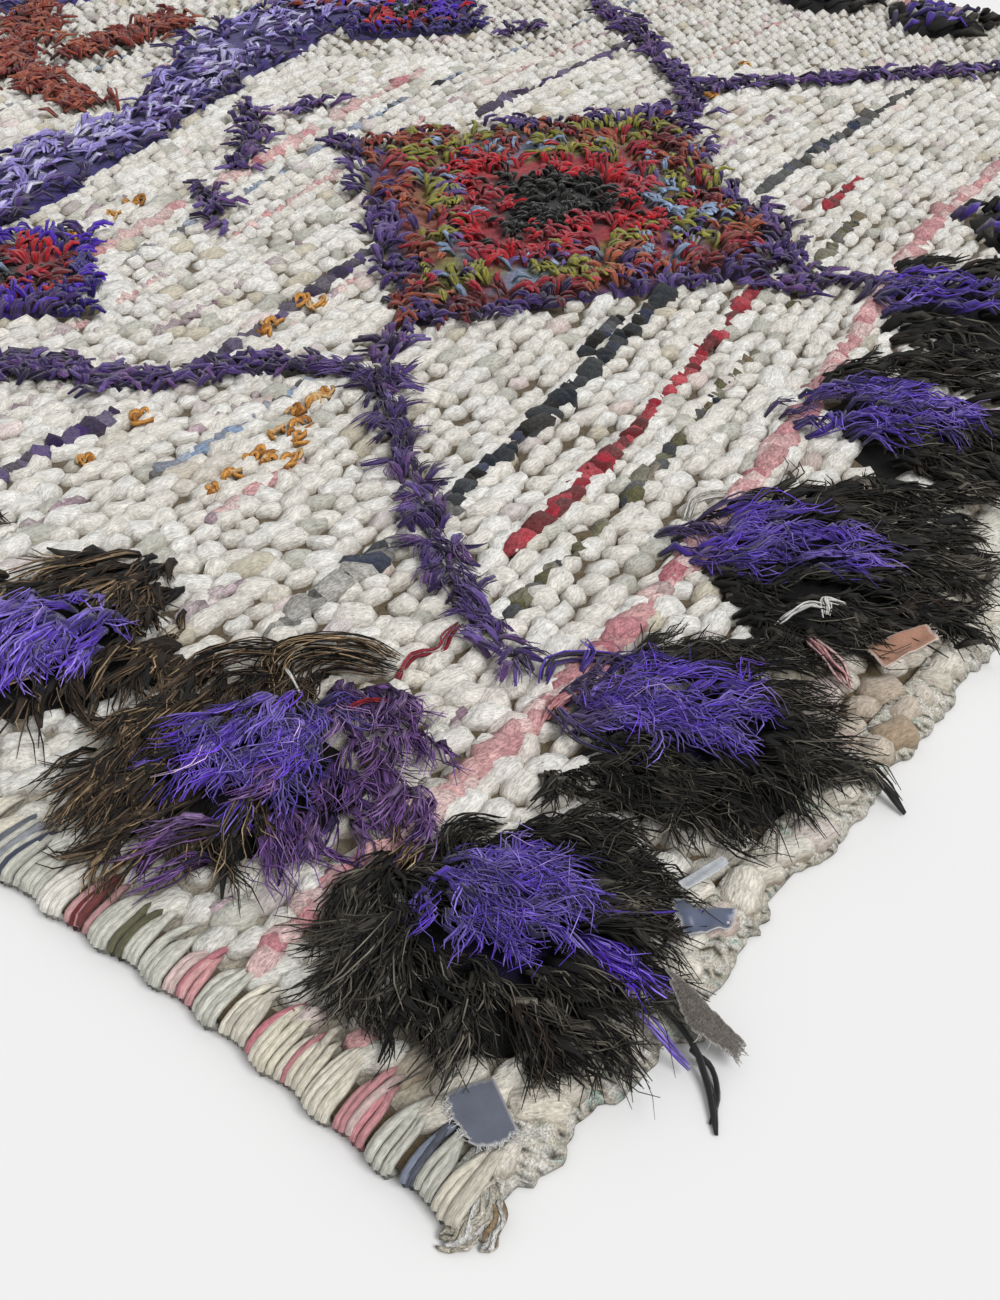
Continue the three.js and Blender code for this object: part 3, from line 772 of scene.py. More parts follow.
pile = {
    # How finely a lozenge is made, by how far its middle is from the corner. black and violet are tufts,
    # fan is how far their strands open; each lock is kind, number in a tuft, steps, sides, half width.
    "grades": [
        {"to": 270, "black": 128, "violet": 76, "stray": 16, "fan": (2.1, 1.4),
         "blackLocks": (("body", 1, 4, 4, 1.95), ("strand", 7, 5, 3, 0.3)),
         "violetLocks": (("body", 1, 4, 5, 1.3), ("strand", 7, 7, 3, 0.32))},
        {"to": 460, "black": 104, "violet": 62, "stray": 6, "fan": (2.3, 1.7),
         "blackLocks": (("body", 1, 4, 4, 2.4), ("strand", 4, 5, 3, 0.42)),
         "violetLocks": (("body", 1, 4, 4, 1.8), ("strand", 5, 5, 3, 0.42))},
        {"to": 640, "black": 58, "violet": 36, "stray": 0, "fan": (2.8, 2.6),
         "blackLocks": (("body", 1, 4, 4, 3.2), ("strand", 2, 4, 3, 0.9)),
         "violetLocks": (("body", 1, 4, 4, 2.4), ("strand", 3, 4, 3, 0.7))},
        {"to": farthest, "black": 30, "violet": 17, "stray": 0, "fan": (2.8, 2.6),
         "blackLocks": (("body", 1, 3, 4, 5.0),), "violetLocks": (("body", 1, 3, 4, 4.2),)},
    ],
    "placedLocks": (("body", 1, 4, 4, 1.7), ("strand", 7, 5, 3, 0.33)),
    "placedFine": (0, 1, 9),    # lozenges whose placed tufts take those locks
    "blackLong": (19, 34),
    "violetLong": (17, 28),
    "blackMix": [0.46, 0.3, 0.18, 0.06],
    "brownMix": [0.3, 0.15, 0.2, 0.35],
    "strayScale": {"long": 1.2, "wave": 3, "tint": 1.6},    # what sets the longest single threads apart
    "strayLift": 2.0,
    "strayLock": ("strand", 2, 8, 3, 0.2),
    "overhang": 6.0,            # how far locks run past the rug's edges
    "cornerOverhang": 9.0,
    "cornerBox": (58, 108, 90),     # x from and to, and y up to, where it is that far
    "sideGap": 5.0,             # how far from the selvedges they stop
    "floor": 1.3,               # height of loose pile that lies on the ground
    "shortest": 7.0,            # tufts with less room than this are left out
    "clumps": 13,               # tufts fall together in this many clumps a ring
    "clumpTurn": 0.24,
    "clumpLong": (0.8, 1.15),
    "clumpRing": 0.55,          # share of the way out where the outer clumps begin
    "combPull": 0.85,           # pull along the comb, beside the outwards one
    "pullSpread": 0.14,         # what chance adds to that
    "combLong": (0.85, 0.25),   # share of its length that a black tuft keeps, and more along the comb
    "violetTurn": 0.26,
    "violetStart": (0.6, 14),   # how much more they turn within this many millimetres of the start
    "violetBright": (0.34, 0.3),    # how their brightness differs, and its least
    "ragged": 5,                # how raggedly mauve and duller purple begin, in millimetres
    "mauveLift": 1.6,           # how far placed mauve tufts lie over the others
    "placedTurn": 0.22,
    # how locks differ: turn, share of length, waves along them by tuft and by lock, where the waves
    # start, share of width, lumps along them, and brightness
    "turn": 0.06, "lengthShare": (0.78, 1.14), "waves": (0.7, 1.6), "waveSpread": 0.12,
    "starts": (0, 6.3), "startSpread": 0.5, "widthShare": (0.75, 1.25), "lumps": (0.8, 1.2),
    "tintSpread": 0.12,
    # how a ply opens along its length, as the sine of turn s^power; its half width where closed, and
    # its share of that in height; how much a wave lifts it, how deep roots sink, and least half height
    "opening": (2.55, 0.9), "closed": 0.8, "plyHigh": 0.9, "waveHigh": 0.4, "sink": 2.5, "leastHigh": 0.2,
    "shadeAt": (0, 0.4, 1), "shades": (0.88, 1.2),  # brightness along a lock, after its root's: painted shade at the root, lifting towards the tip
    # how a lock's width goes along it, how flat it is, how far it rolls and bends, how dark it is painted
    # (a dark body stands for the shade under lighter strands), how dark at its root as painted shade, its
    # share of the tuft's length, how far it is lifted, and the tint's share on its underside as painted
    # shade
    "body": {"at": (0, 0.15, 0.55, 0.85, 1), "width": (0.7, 1.0, 0.95, 0.6, 0.25), "flat": 0.5, "roll": 0.5,
             "bend": 0.08, "shade": 0.55, "root": 0.3, "reach": 0.74, "lift": 0.0, "under": 0.8},
    "tuft": {"at": (0, 0.2, 0.6, 1), "width": (0.8, 1.0, 1.0, 0.55), "flat": 0.56, "roll": 0.6,
             "bend": 0.08, "shade": 1.05, "root": 0.72, "reach": 0.9, "lift": 0.0, "under": 0.7},
    "strand": {"at": (0, 0.15, 0.75, 1), "width": (0.8, 1.0, 0.95, 0.35), "flat": 1.0, "roll": 0.0,
               "bend": 0.16, "shade": 1.1, "root": 0.3, "reach": 1.0, "lift": 0.9, "under": 0.3},
    # dyes that single hairs take beside the dye of their tuft, their shares, and how much of it
    "hairs": {
        "black": ("soot black blackWorn ashWorn", [0.42, 0.24, 0.26, 0.08], 0.75),
        "brown": ("black brown brownWorn tan", [0.34, 0.3, 0.28, 0.08], 0.75),
        "violet": ("violetDeep violet violetLight", [0.22, 0.44, 0.34], 0.6),
        "mauve": ("mauveLock mauveTip plumDark brown", [0.45, 0.25, 0.2, 0.1], 0.75),
        "plum": ("plum plumLight plumDark", [0.5, 0.25, 0.25], 0.6),
    },
}
# How a lozenge is combed and filled: the violet middle's start and end along the comb, half width and shift
# aside, how much its tufts fan, its share of deep violet, and how near the field duller purple begins; how
# far the black tufts turn outwards, start back and to the left, how far out they root, and how many there
# are; how far aside mauve ones begin, and how much those turn. Lozenges on the left are browner.
plainComb = {
    "from": -50.0, "to": 13.0, "wide": 20.0, "aside": 0.0, "fan": 0.4, "deep": 0.24, "plumTo": -34.0,
    "out": 0.5, "back": 4.0, "side": 0.0, "rootsFrom": 0.3, "rootsTo": 0.84, "more": 1.0,
    "mauveFrom": farthest, "mauveTurn": 0.0, "leftTo": 120.0, "leftFrom": 100.0,
}
# What differs, and the way of the comb in degrees from the weft. Lozenges 0 to 4 run along the near end,
# and 9 and 11 up the left side.
combs = {
    0: {"comb": -80, "from": -39, "to": 4, "wide": 14, "aside": 12, "fan": 0.36, "out": 0.75, "plumTo": -99,
        "side": 5, "more": 1.06},
    1: {"comb": -66, "from": -60, "to": 10, "wide": 21, "aside": 8, "fan": 0.25, "out": 0.28, "back": 13,
        "plumTo": -46, "side": -7},
    2: {"comb": -66, "from": -70, "to": 14, "wide": 21, "fan": 0.25, "out": 0.34, "back": 2, "plumTo": -52,
        "rootsTo": 1.0, "more": 1.35, "side": 1},
    3: {"comb": -63, "from": -66, "to": 22, "wide": 24, "fan": 0.25, "out": 0.34, "back": 0, "plumTo": -48,
        "rootsTo": 1.05, "more": 1.35, "side": -20},
    4: {"comb": -63, "from": -66, "to": 14, "wide": 26, "fan": 0.25, "out": 0.4, "back": 4, "plumTo": -48,
        "rootsTo": 1.08, "more": 1.5, "side": 8},
    9: {"comb": -156, "from": -42, "to": 6, "wide": 24, "fan": 0.3, "out": 0.35, "back": 15, "plumTo": -99,
        "mauveFrom": 13, "mauveTurn": 0.4, "rootsTo": 0.9, "deep": 0.5},
    11: {"comb": -158, "from": -34, "to": 14, "wide": 27, "fan": 0.3, "out": 0.3, "back": 19, "plumTo": -99,
         "rootsTo": 0.95, "more": 1.15},
}


def clothFoot(x, y):
    # height that loose pile lies at: the puffs' tops on the rug, falling to the floor past its edges
    inwards = np.minimum(x + 3, y - rowShift(x, 0 * x) + 6)
    return pile["floor"] + (cloth["top"] - pile["floor"]) * smooth(inwards, -10, 4)


def loftAt(x, y, centre, slope, loft):
    # packed pile of a lozenge: loft (1 - smooth(away, 0.3, 1.25))
    dx = x - centre[:, :1]
    away = rounded(dx / border["across"], (y - centre[:, 1:2] - slope * dx) / border["along"])
    return loft * (1 - smooth(away, 0.3, 1.25))


def growLocks(tufts, kindName, each, steps, sides, half, hairs=None):
    # Locks of pile. In plan a lock is root + integral of length (cos, sin)(heading + bend s^1.3), set off
    # to its side by its place in the ply and by a wave that its tuft shares; the ply opens in the middle
    # and closes towards the tip. Its height is foot + packed pile + layer rise + an arch. tufts holds
    # arrays; a body is a flat lock of hair and a strand is one thread.
    kind = pile[kindName]
    count = len(tufts["x"])
    pick = np.repeat(np.arange(count), each)
    n = len(pick)
    s = np.linspace(0, 1, steps)
    own = {key: value[pick] for key, value in tufts.items()}
    thin = kindName == "strand"
    ply = np.sqrt(draw.uniform(0, 1, n)) * np.exp(1j * draw.uniform(0, 2 * np.pi, n))
    if not thin and each == 1:
        ply = ply * 0.2
    heading = (own["heading"] + draw.normal(0, pile["turn"], n))[:, None]
    bend = (own["bend"] + draw.normal(0, kind["bend"], n))[:, None]
    length = (own["long"] * draw.uniform(*pile["lengthShare"], n) * kind["reach"])[:, None]
    beat = draw.uniform(*pile["waves"], count)[pick] + draw.normal(0, pile["waveSpread"], n)
    start = draw.uniform(*pile["starts"], count)[pick] + draw.normal(0, pile["startSpread"], n)
    wave = own["wave"][:, None] * s ** 0.7 * np.sin(2 * np.pi * beat[:, None] * s + start[:, None])
    angle = heading + bend * s ** 1.3
    step = length / (steps - 1)
    x = own["x"][:, None] + np.cumsum(step * np.cos(angle), axis=1) - step * np.cos(angle[:, :1])
    y = own["y"][:, None] + np.cumsum(step * np.sin(angle), axis=1) - step * np.sin(angle[:, :1])
    turn, power = pile["opening"]
    opening = np.sin(turn * s ** power)
    aside = ply.real[:, None] * (pile["closed"] + own["fan"][:, None] * opening) + wave
    x = x - aside * np.sin(angle)
    y = y + aside * np.cos(angle)
    packed = loftAt(x, y, own["centre"], own["slope"][:, None], own["loft"][:, None])
    rise = 1 - (1 - s) ** 3
    arch = own["crest"][:, None] * np.sin(np.pi * s ** 0.8)
    z = clothFoot(x, y) + packed + own["layer"][:, None] * rise + arch - pile["sink"] * (1 - s) ** 4
    z = z + (ply.imag[:, None] + kind["lift"]) * pile["plyHigh"] * rise + pile["waveHigh"] * wave
    width = half * np.interp(s, kind["at"], kind["width"]) * draw.uniform(*pile["widthShare"], (n, 1))
    if not thin:
        width = width * draw.uniform(*pile["lumps"], (n, steps))
    high = np.maximum(width * kind["flat"], pile["leastHigh"])
    z = np.maximum(z, high + pile["leastHigh"])
    # painted shade: each kind's shade paints bodies darker than the strands over them
    tint = own["tint"] * draw.normal(1, pile["tintSpread"], (n, 1)) * kind["shade"]
    if hairs and thin:
        names, weights, share = hairs
        tint = blendTo(tint, mixDyes(names, n, weights), share)
    # painted shade at the root, lifting towards the tip
    shade = np.interp(s, pile["shadeAt"], (kind["root"], *pile["shades"]))
    tint = tint[:, None, :] * shade[None, :, None]
    roll = draw.normal(0, kind["roll"], n)
    return carry(np.stack([x, y, z], axis=2), width, high, sides, tint, roll=roll, under=kind["under"])


def tuftsAt(x, y, heading, length, tint, bend, layer, crest, fan, wave, centre=None, slope=0.0, loft=0.0):
    # plain arrays for growLocks, with the random parts drawn here
    n = len(x)
    even = {"fan": fan, "wave": wave, "slope": slope, "loft": loft}
    return {"x": x, "y": y, "heading": heading, "long": length, "tint": tint,
            "bend": draw.normal(0, bend, n), "layer": draw.uniform(*layer, n),
            "crest": draw.uniform(*crest, n),
            "centre": np.column_stack([x, y]) if centre is None else np.tile(centre, (n, 1)),
            **{key: np.full(n, float(value)) for key, value in even.items()}}


def chosenTufts(tufts, mask):
    # the tufts where mask is true, or those it numbers
    return {key: value[mask] for key, value in tufts.items()}


def leanAt(x, t):
    # the pile lies outwards over the edges and down towards the near end: how much across and along
    left, right = (1 - smooth(x, 80, 150), 1 - smooth(cloth["width"] - x, 80, 150))
    near, far = (1 - smooth(t, 60, 120), 1 - smooth(cloth["length"] - t, 60, 120))
    return np.array([0.9 * (right - left) + 0.42 * near, -0.3 - 0.7 * near + 1.2 * far])


# Near the corner the pile stops short of a slanting line, where the weave and a scrap of satin show.
cornerLine = {"normal": (0.92, 0.39), "away": 41.0, "reach": 110.0}


def roomAhead(x, y, heading):
    # how far a lock can run along its heading before it passes the rug's edges or the corner's line
    hx, hy = np.cos(heading), np.sin(heading)
    boxFrom, boxTo, boxTop = pile["cornerBox"]
    atCorner = (x > boxFrom) & (x < boxTo) & (y < boxTop)
    over = pile["overhang"] + (pile["cornerOverhang"] - pile["overhang"]) * atCorner
    toLeft = (x - pile["sideGap"]) / np.maximum(-hx, 1e-3)
    toRight = (cloth["width"] - pile["sideGap"] - x) / np.maximum(hx, 1e-3)
    toNear = (y - rowShift(x, 0 * x) + over) / np.maximum(-hy, 1e-3)
    toFar = (cloth["length"] + rowShift(x, cloth["length"] + 0 * x) + over - y) / np.maximum(hy, 1e-3)
    a, b = cornerLine["normal"]
    closing = -(a * hx + b * hy)
    toLine = (a * x + b * y - cornerLine["away"]) / np.maximum(closing, 1e-3)
    close = (hy < 0.1) & (x < cornerLine["reach"]) & (y < cornerLine["reach"])
    toLine = np.where(close, np.maximum(toLine, 4), farthest)
    return np.minimum.reduce([toLeft, toRight, toNear, toFar, toLine])


def combOf(index, centre):
    # a lozenge's values over the plain ones, with its middle on the plan, the row's slope there, and the
    # way that it is combed: its own, or else the lean of the pile
    x, t = centre
    own = {**plainComb, **combs.get(index, {})}
    lean = leanAt(x, t)
    own["turn"] = math.radians(own["comb"]) if "comb" in own else math.atan2(lean[1], lean[0])
    own["way"] = np.array([math.cos(own["turn"]), math.sin(own["turn"])])
    own["look"] = {"centre": np.array([x, t + rowShift(x, t)]), "slope": rowSlope(x, t),
                   "loft": border["loft"]}
    own["hair"] = "brown" if x < own["leftTo"] and t > own["leftFrom"] else "black"
    return own


def violetTufts(own, grade):
    # The violet middle: its roots fill an ellipse of p and q, where p runs along the comb from the middle
    # and q across it, and its tufts fan out by q. Also which of them were tied in duller purple.
    low, high, wide, comb, middle = own["from"], own["to"], own["wide"], own["way"], own["look"]["centre"]
    n = grade["violet"]
    a, b = np.sqrt(draw.uniform(0, 1, n)), draw.uniform(0, 2 * np.pi, n)
    p = (low + high) / 2 + (high - low) / 2 * a * np.cos(b)
    q = wide * a * np.sin(b)
    aside = q + own["aside"]
    px = middle[0] + p * comb[0] - aside * comb[1]
    py = middle[1] + p * comb[1] + aside * comb[0]
    more, within = pile["violetStart"]
    spread = 1 + more * (p < low + within)
    heading = own["turn"] + own["fan"] * q / wide + draw.normal(0, pile["violetTurn"], n) * spread
    length = np.minimum(draw.uniform(*pile["violetLong"], n), roomAhead(px, py, heading))
    tint = mixDyes("violet violetLight violetDeep", n, [0.78 - own["deep"], 0.22, own["deep"]])
    differ, least = pile["violetBright"]
    tint = tint * np.maximum(draw.normal(1, differ, (n, 1)), least)
    dull = p < own["plumTo"] + draw.normal(0, pile["ragged"], n)
    tint[dull] = mixDyes("plum plumLight violet", int(dull.sum()), [0.5, 0.25, 0.25])
    tufts = tuftsAt(px, py, heading, length, tint, bend=0.6, layer=(0.8, 3.4), crest=(0.4, 2.6),
                    fan=grade["fan"][1], wave=2.4, **own["look"])
    tufts["layer"] = tufts["layer"] + 1.2 * (1 - np.minimum(a, 1)) + (high - p) / (high - low)
    return tufts, dull


def blackTufts(own, grade):
    # The black pile round the middle: roots (u, v) of the lozenge outside the violet ellipse, combed along
    # the comb and outwards, in clumps that turn together. Also which of them are mauve.
    low, high, comb, middle = own["from"], own["to"], own["way"], own["look"]["centre"]
    slope, clumps = own["look"]["slope"], pile["clumps"]
    count = int(grade["black"] * own["more"])
    u, v = draw.uniform(-1, 1, (2, count * 8)) * own["rootsTo"]
    px = middle[0] + u * border["across"] - own["back"] * comb[0] - own["side"]
    py = middle[1] + v * border["along"] + slope * u * border["across"] - own["back"] * comb[1]
    p = (px - middle[0]) * comb[0] + (py - middle[1]) * comb[1]
    q = (py - middle[1]) * comb[0] - (px - middle[0]) * comb[1]
    along, across = (p - (low + high) / 2) / ((high - low) / 2), (q - own["aside"]) / own["wide"]
    away = rounded(u, v)
    clear = (away > own["rootsFrom"]) & (away < own["rootsTo"]) & ~(along ** 2 + across ** 2 < 0.8)
    good = np.flatnonzero(clear)[:count]
    px, py, u, v, q = px[good], py[good], u[good], v[good], q[good]
    n = len(px)
    pull = unit(np.stack([u, v], axis=1), 0.12) * own["out"] + comb * pile["combPull"]
    pull = pull + draw.normal(0, pile["pullSpread"], (n, 2))
    clump = ((np.arctan2(v, u) / (2 * np.pi) + 0.5) * clumps).astype(int) % clumps
    clump = clump + clumps * (np.hypot(u, v) > pile["clumpRing"])
    turned = draw.normal(0, pile["clumpTurn"], 2 * clumps)[clump]
    heading = np.arctan2(pull[:, 1], pull[:, 0]) + turned
    least, more = pile["combLong"]
    length = draw.uniform(*pile["blackLong"], n) * (least + more * np.clip(pull @ comb, -0.8, 1))
    length = length * draw.uniform(*pile["clumpLong"], 2 * clumps)[clump]
    length = np.minimum(length, roomAhead(px, py, heading))
    tint = mixDyes("black soot blackWorn brown", n, pile[own["hair"] + "Mix"])
    mauve = q > own["mauveFrom"] + draw.normal(0, pile["ragged"], n)
    heading[mauve] += own["mauveTurn"]
    tint[mauve] = mixDyes("mauveLock mauveTip plum", int(mauve.sum()), [0.45, 0.2, 0.35])
    tufts = tuftsAt(px, py, heading, length, tint, bend=0.5, layer=(0.2, 2.6), crest=(0.1, 1.8),
                    fan=grade["fan"][0], wave=1.9, **own["look"])
    return tufts, mauve


def lozengePile(index, centre, grade):
    # Both kinds of pile of one lozenge, as {"black": set, "violet": set}. Tufts of another dye take other
    # hairs, and near the corner a few long single threads lie across the rest.
    own = combOf(index, centre)
    violet, dull = violetTufts(own, grade)
    black, mauve = blackTufts(own, grade)
    sets = {}
    for kind, tufts, apart, hair, other in (("black", black, mauve, own["hair"], "mauve"),
                                            ("violet", violet, dull, "violet", "plum")):
        held = tufts["long"] > pile["shortest"]
        grown = []
        for mask, name in ((held & ~apart, hair), (held & apart, other)):
            if mask.any():
                part, hairs = chosenTufts(tufts, mask), pile["hairs"][name]
                grown += [growLocks(part, *lock, hairs=hairs) for lock in grade[kind + "Locks"]]
        if grade["stray"]:
            few = draw.choice(np.flatnonzero(held), min(grade["stray"], int(held.sum())), replace=False)
            stray = chosenTufts(tufts, few)
            for key, scale in pile["strayScale"].items():
                stray[key] = stray[key] * scale
            stray["layer"] = stray["layer"] + pile["strayLift"]
            grown.append(growLocks(stray, *pile["strayLock"]))
        sets[kind] = gather(grown)
    return sets


# Tufts tied or pulled out of line: the lozenge they belong to, the place of their roots (x, y) and how far
# they stray from it, the way they lie in degrees, their least and greatest length, number and hair.
placed = [
    (0, 60, 79, 5, 182, 28, 42, 19, "black"), (0, 46, 68, 5, 200, 18, 30, 9, "black"),
    (0, 109, 71, 5, 304, 18, 28, 10, "black"), (0, 106, 48, 5, 316, 18, 28, 10, "black"),
    (0, 104, 32, 4, 322, 13, 21, 8, "black"), (0, 119, 65, 6, 292, 20, 32, 15, "black"),
    (3, 372, 86, 5, 292, 24, 36, 11, "black"), (3, 386, 62, 6, 286, 24, 36, 11, "black"),
    (2, 354, 50, 5, 284, 20, 30, 9, "black"), (2, 298, 20, 5, 272, 18, 26, 11, "black"),
    (0, 110, 40, 5, 292, 20, 30, 14, "black"), (0, 88, 100, 4, 200, 14, 22, 6, "brown"),
    (0, 60, 98, 4, 196, 16, 26, 7, "black"), (0, 50, 46, 3, 210, 26, 36, 7, "black"),
    (1, 204, 36, 4, 290, 16, 26, 7, "black"), (1, 141, 80, 4, 258, 14, 24, 9, "black"),
    (2, 337, 44, 5, 296, 18, 28, 10, "black"), (2, 306, 30, 5, 294, 16, 25, 8, "black"),
    (3, 347, 60, 5, 298, 18, 30, 9, "black"), (11, 124, 274, 5, 200, 20, 30, 11, "brown"),
    (11, 102, 234, 5, 208, 20, 30, 10, "brown"), (11, 106, 217, 4, 196, 20, 30, 8, "brown"),
    (2, 326, 42, 5, 270, 20, 30, 8, "black"), (0, 52, 46, 4, 250, 16, 24, 9, "black"),
    (0, 71, 94, 4, 196, 16, 26, 11, "black"), (1, 221, 84, 4, 312, 16, 26, 8, "black"),
    (0, 84, 26, 5, 252, 20, 30, 7, "violet"), (0, 62, 32, 5, 262, 18, 28, 9, "black"),
    (1, 195, 17, 5, 300, 14, 24, 11, "black"), (2, 268, 57, 5, 288, 18, 28, 11, "black"),
    (9, 45, 184, 5, 178, 20, 30, 9, "brown"), (9, 56, 204, 5, 184, 24, 36, 14, "brown"),
    (9, 76, 214, 4, 196, 20, 30, 8, "brown"), (9, 33, 168, 4, 176, 18, 26, 8, "brown"),
    (9, 138, 151, 4, 222, 18, 28, 10, "mauve"), (9, 124, 136, 5, 220, 20, 30, 10, "mauve"),
    (9, 103, 115, 5, 218, 20, 30, 9, "mauve"), (9, 84, 146, 4, 172, 18, 26, 5, "mauve"),
    (9, 44, 148, 4, 163, 20, 32, 8, "mauve"),
]


def placedPile(lozenge, atX, atY, stray, lie, shortest, longest, n, hair):
    # one row of placed: tufts whose roots stray round (atX, atY), on top of their lozenge's packed pile
    x, t = lozenges[lozenge]
    px, py = np.array([[atX], [atY]]) + draw.normal(0, stray, (2, n))
    names, weights, _ = pile["hairs"][hair]
    lift = pile["mauveLift"] if hair == "mauve" else 0.0
    heading = math.radians(lie) + draw.normal(0, pile["placedTurn"], n)
    middle = np.array([x, t + rowShift(x, t)])
    length = draw.uniform(shortest, longest, n)
    tufts = tuftsAt(px, py, heading, length, mixDyes(names, n, weights), bend=0.45,
                    layer=(0.4 + lift, 2.8 + lift), crest=(0.4, 2.4), fan=2.4, wave=1.9, centre=middle,
                    slope=rowSlope(x, t), loft=border["loft"])
    fine = lozenge in pile["placedFine"]
    locks = pile["placedLocks"] if fine else pile["grades"][1]["blackLocks"]
    return gather([growLocks(tufts, *lock, hairs=pile["hairs"][hair]) for lock in locks])


def domes(rows, tintAt, rings, sides):
    # closed low domes: z = foot + (top - foot)(1 - r^2.5) over a diamond outline |u|^p + |v|^p = 1, with a
    # flat foot. rows hold x, t, across, along, foot, top, p.
    a = 2 * np.pi * np.arange(sides) / sides
    sets = []
    for x, t, across, along, foot, top, power in rows:
        norm = (np.abs(np.cos(a)) ** power + np.abs(np.sin(a)) ** power) ** (1 / power)
        r = np.linspace(1, 0.08, rings)[:, None]
        u, v = r * np.cos(a) / norm, r * np.sin(a) / norm
        z = foot + (top - foot) * (1 - r ** 2.5) + 0 * u
        points = toPlan(x + u * across, t + v * along, z)
        under = toPlan(x + u[0] * across, t + v[0] * along, 1.5 + 0 * u[0])[None]
        points = np.concatenate([under, points])
        tint = tintAt(x, t, np.concatenate([u[:1], u]), np.concatenate([v[:1], v]))
        flat = points.reshape(-1, 3)
        sets.append({"points": flat, "faces": tubeFaces(1, rings + 1, sides, True),
                     "tint": tint.reshape(-1, 3), "grain": flat})
    return gather(sets)


def lozengeShadeTint(x, t, u, v):
    # painted shade under the pile: deep violet up to 0.3 of the way out, and soot round it
    return np.where((rounded(u, v) < 0.3)[..., None], dye["violetDeep"] * 0.1, dye["soot"])


def makeBorder():
    # each lozenge's pile in the grade of its distance from the corner, the placed tufts, and a dark mound
    # under every lozenge, painted shade that shows in the gaps of the pile
    black, violet = {}, []
    for index, centre in enumerate(lozenges):
        away = math.hypot(*centre)
        grade = next(g for g in pile["grades"] if away < g["to"])
        sets = lozengePile(index, centre, grade)
        place = "near" if grade is pile["grades"][0] else "rest"
        black.setdefault(place, []).append(sets["black"])
        violet.append(sets["violet"])
    black["near"] += [placedPile(*group) for group in placed]
    for place, sets in black.items():
        addPiece(f"black_pile_{place}", gather(sets), "blackPile")
    addPiece("violet_pile", gather(violet), "acrylicPile")
    rows = [(x, t, *border["bed"], 1.4) for x, t in lozenges]
    addPiece("pile_shade_beds", domes(rows, lozengeShadeTint, rings=6, sides=16), "blackPile")


draw = np.random.default_rng(403)  # draws of their own for the pile and all that follows
makeBorder()

lattice = {
    "paths": [
        [(240, 387), (226, 408), (216, 430), (208, 450), (190, 476)],
        [(354, 314), (310, 299), (300, 335), (281, 357), (257, 371), (238, 389), (226, 408), (216, 430),
         (208, 450), (190, 476), (150, 500), (120, 512)],
        [(310, 299), (286, 273), (256, 241), (233, 208), (214, 186), (197, 164), (193, 145), (178, 120)],
        [(740, 308), (781, 340), (968, 178), (1010, 140)],
        [(781, 340), (876, 444), (909, 497), (1010, 600)],
        [(522, 158), (541, 138), (560, 120)], [(620, 204), (596, 182), (572, 160), (554, 146)],
        [(548, 596), (528, 572), (508, 548)], [(508, 548), (480, 540), (462, 528)],
        [(426, 530), (410, 508), (394, 488)],
        [(573, 553), (598, 545)], [(543, 470), (536, 500)], [(810, 530), (836, 524)],
    ],
    "wide": 9.5,
    "perLength": 0.58,
    "fineTo": 440.0,
    "long": (12, 22),
    "spread": 0.42,             # how far tufts stray from the line, beside wide
    "turn": 0.55,
    "mirrorShare": 0.4,         # tufts of the mirrored lines
}
# Dyes of the medallions from the middle outwards, by the share of the way out.
rings = [
    (0.3, "soot black soot soot black", None),
    (0.47, "bright bright crimson bright crimson redLight", None),
    (0.6, "lightBlue oliveYellow bright crimson oliveYellow plumLight", None),
    (0.74, "crimson oliveYellow rust lightBlue rustLight oliveYellow",
     "oliveYellow rustLight oliveYellow lightBlue crimson"),
    (0.89, "darkRed rustLight rust crimson plum rust", "oliveYellow darkRed rustLight rust"),
    (1.2, "plum plumDark plum plumLight", None),
]
smallRings = [
    (0.25, "soot black lightBlue", None), (0.66, "bright crimson darkRed bright violet", None),
    (1.2, "violetDeep plum beltDeep violet", None),
]
rust = {
    "strokes": [[(485, 690), (490, 760), (500, 825), (560, 855), (614, 905)],
                [(545, 800), (604, 776), (668, 782)]],
    "shifts": (0, -300, 300),
    "half": 22.0,
    "perLength": 1.5,
    "long": (13, 21),
    "spread": 0.45,             # how far tufts stray from the stroke, beside half
    "turn": 0.6,
    "shiftedShare": 0.6,        # tufts of the shifted strokes
}
short = {
    # short pile: its locks, as in pile["grades"]
    "fine": (("tuft", 2, 4, 3, 1.65),),
    "middle": (("tuft", 2, 3, 3, 1.9),),
    "coarse": (("tuft", 1, 3, 3, 3.2),),
    "lattice": (("tuft", 1, 4, 4, 1.7), ("strand", 5, 5, 3, 0.34)),
    "long": (9, 16),
    "twist": 0.5,
    "patch": (31.0, 20.0),      # dyed yarn comes in patches of about this size
    "strays": 0.14,             # share of tufts that don't match their patch
    "turnsAt": 0.12,            # how far to the right the rings take their other dyes
    "ragged": 0.025,            # how raggedly one ring ends and the next begins
    "turn": 0.4,
}
patchLot = draw.integers(0, 60, (60, 120))
patchWay = draw.uniform(-np.pi, np.pi, (60, 120))


def patchOf(x, t):
    # row and column of the patch that a place is in
    across, along = short["patch"]
    column = (x / across + 0.4 * np.sin(t / 19)).astype(int) % 60
    return column, (t / along + 0.5 * np.sin(x / 23)).astype(int) % 120


def ringTints(r, x, t, right, plan):
    # right is true on the side where some rings turn yellow
    tint = np.zeros((len(r), 3))
    stray = draw.uniform(0, 1, len(r)) < short["strays"]
    lot = np.where(stray, draw.integers(0, 60, len(r)), patchLot[patchOf(x, t)])
    low = 0.0
    for high, names, others in plan:
        hit = (r >= low) & (r < high)
        for chosen, dyes in ((hit & ~right, names), (hit & right, others or names)):
            table = dyeTable(dyes)
            tint[chosen] = table[lot[chosen] % len(table)]
        low = high
    return tint


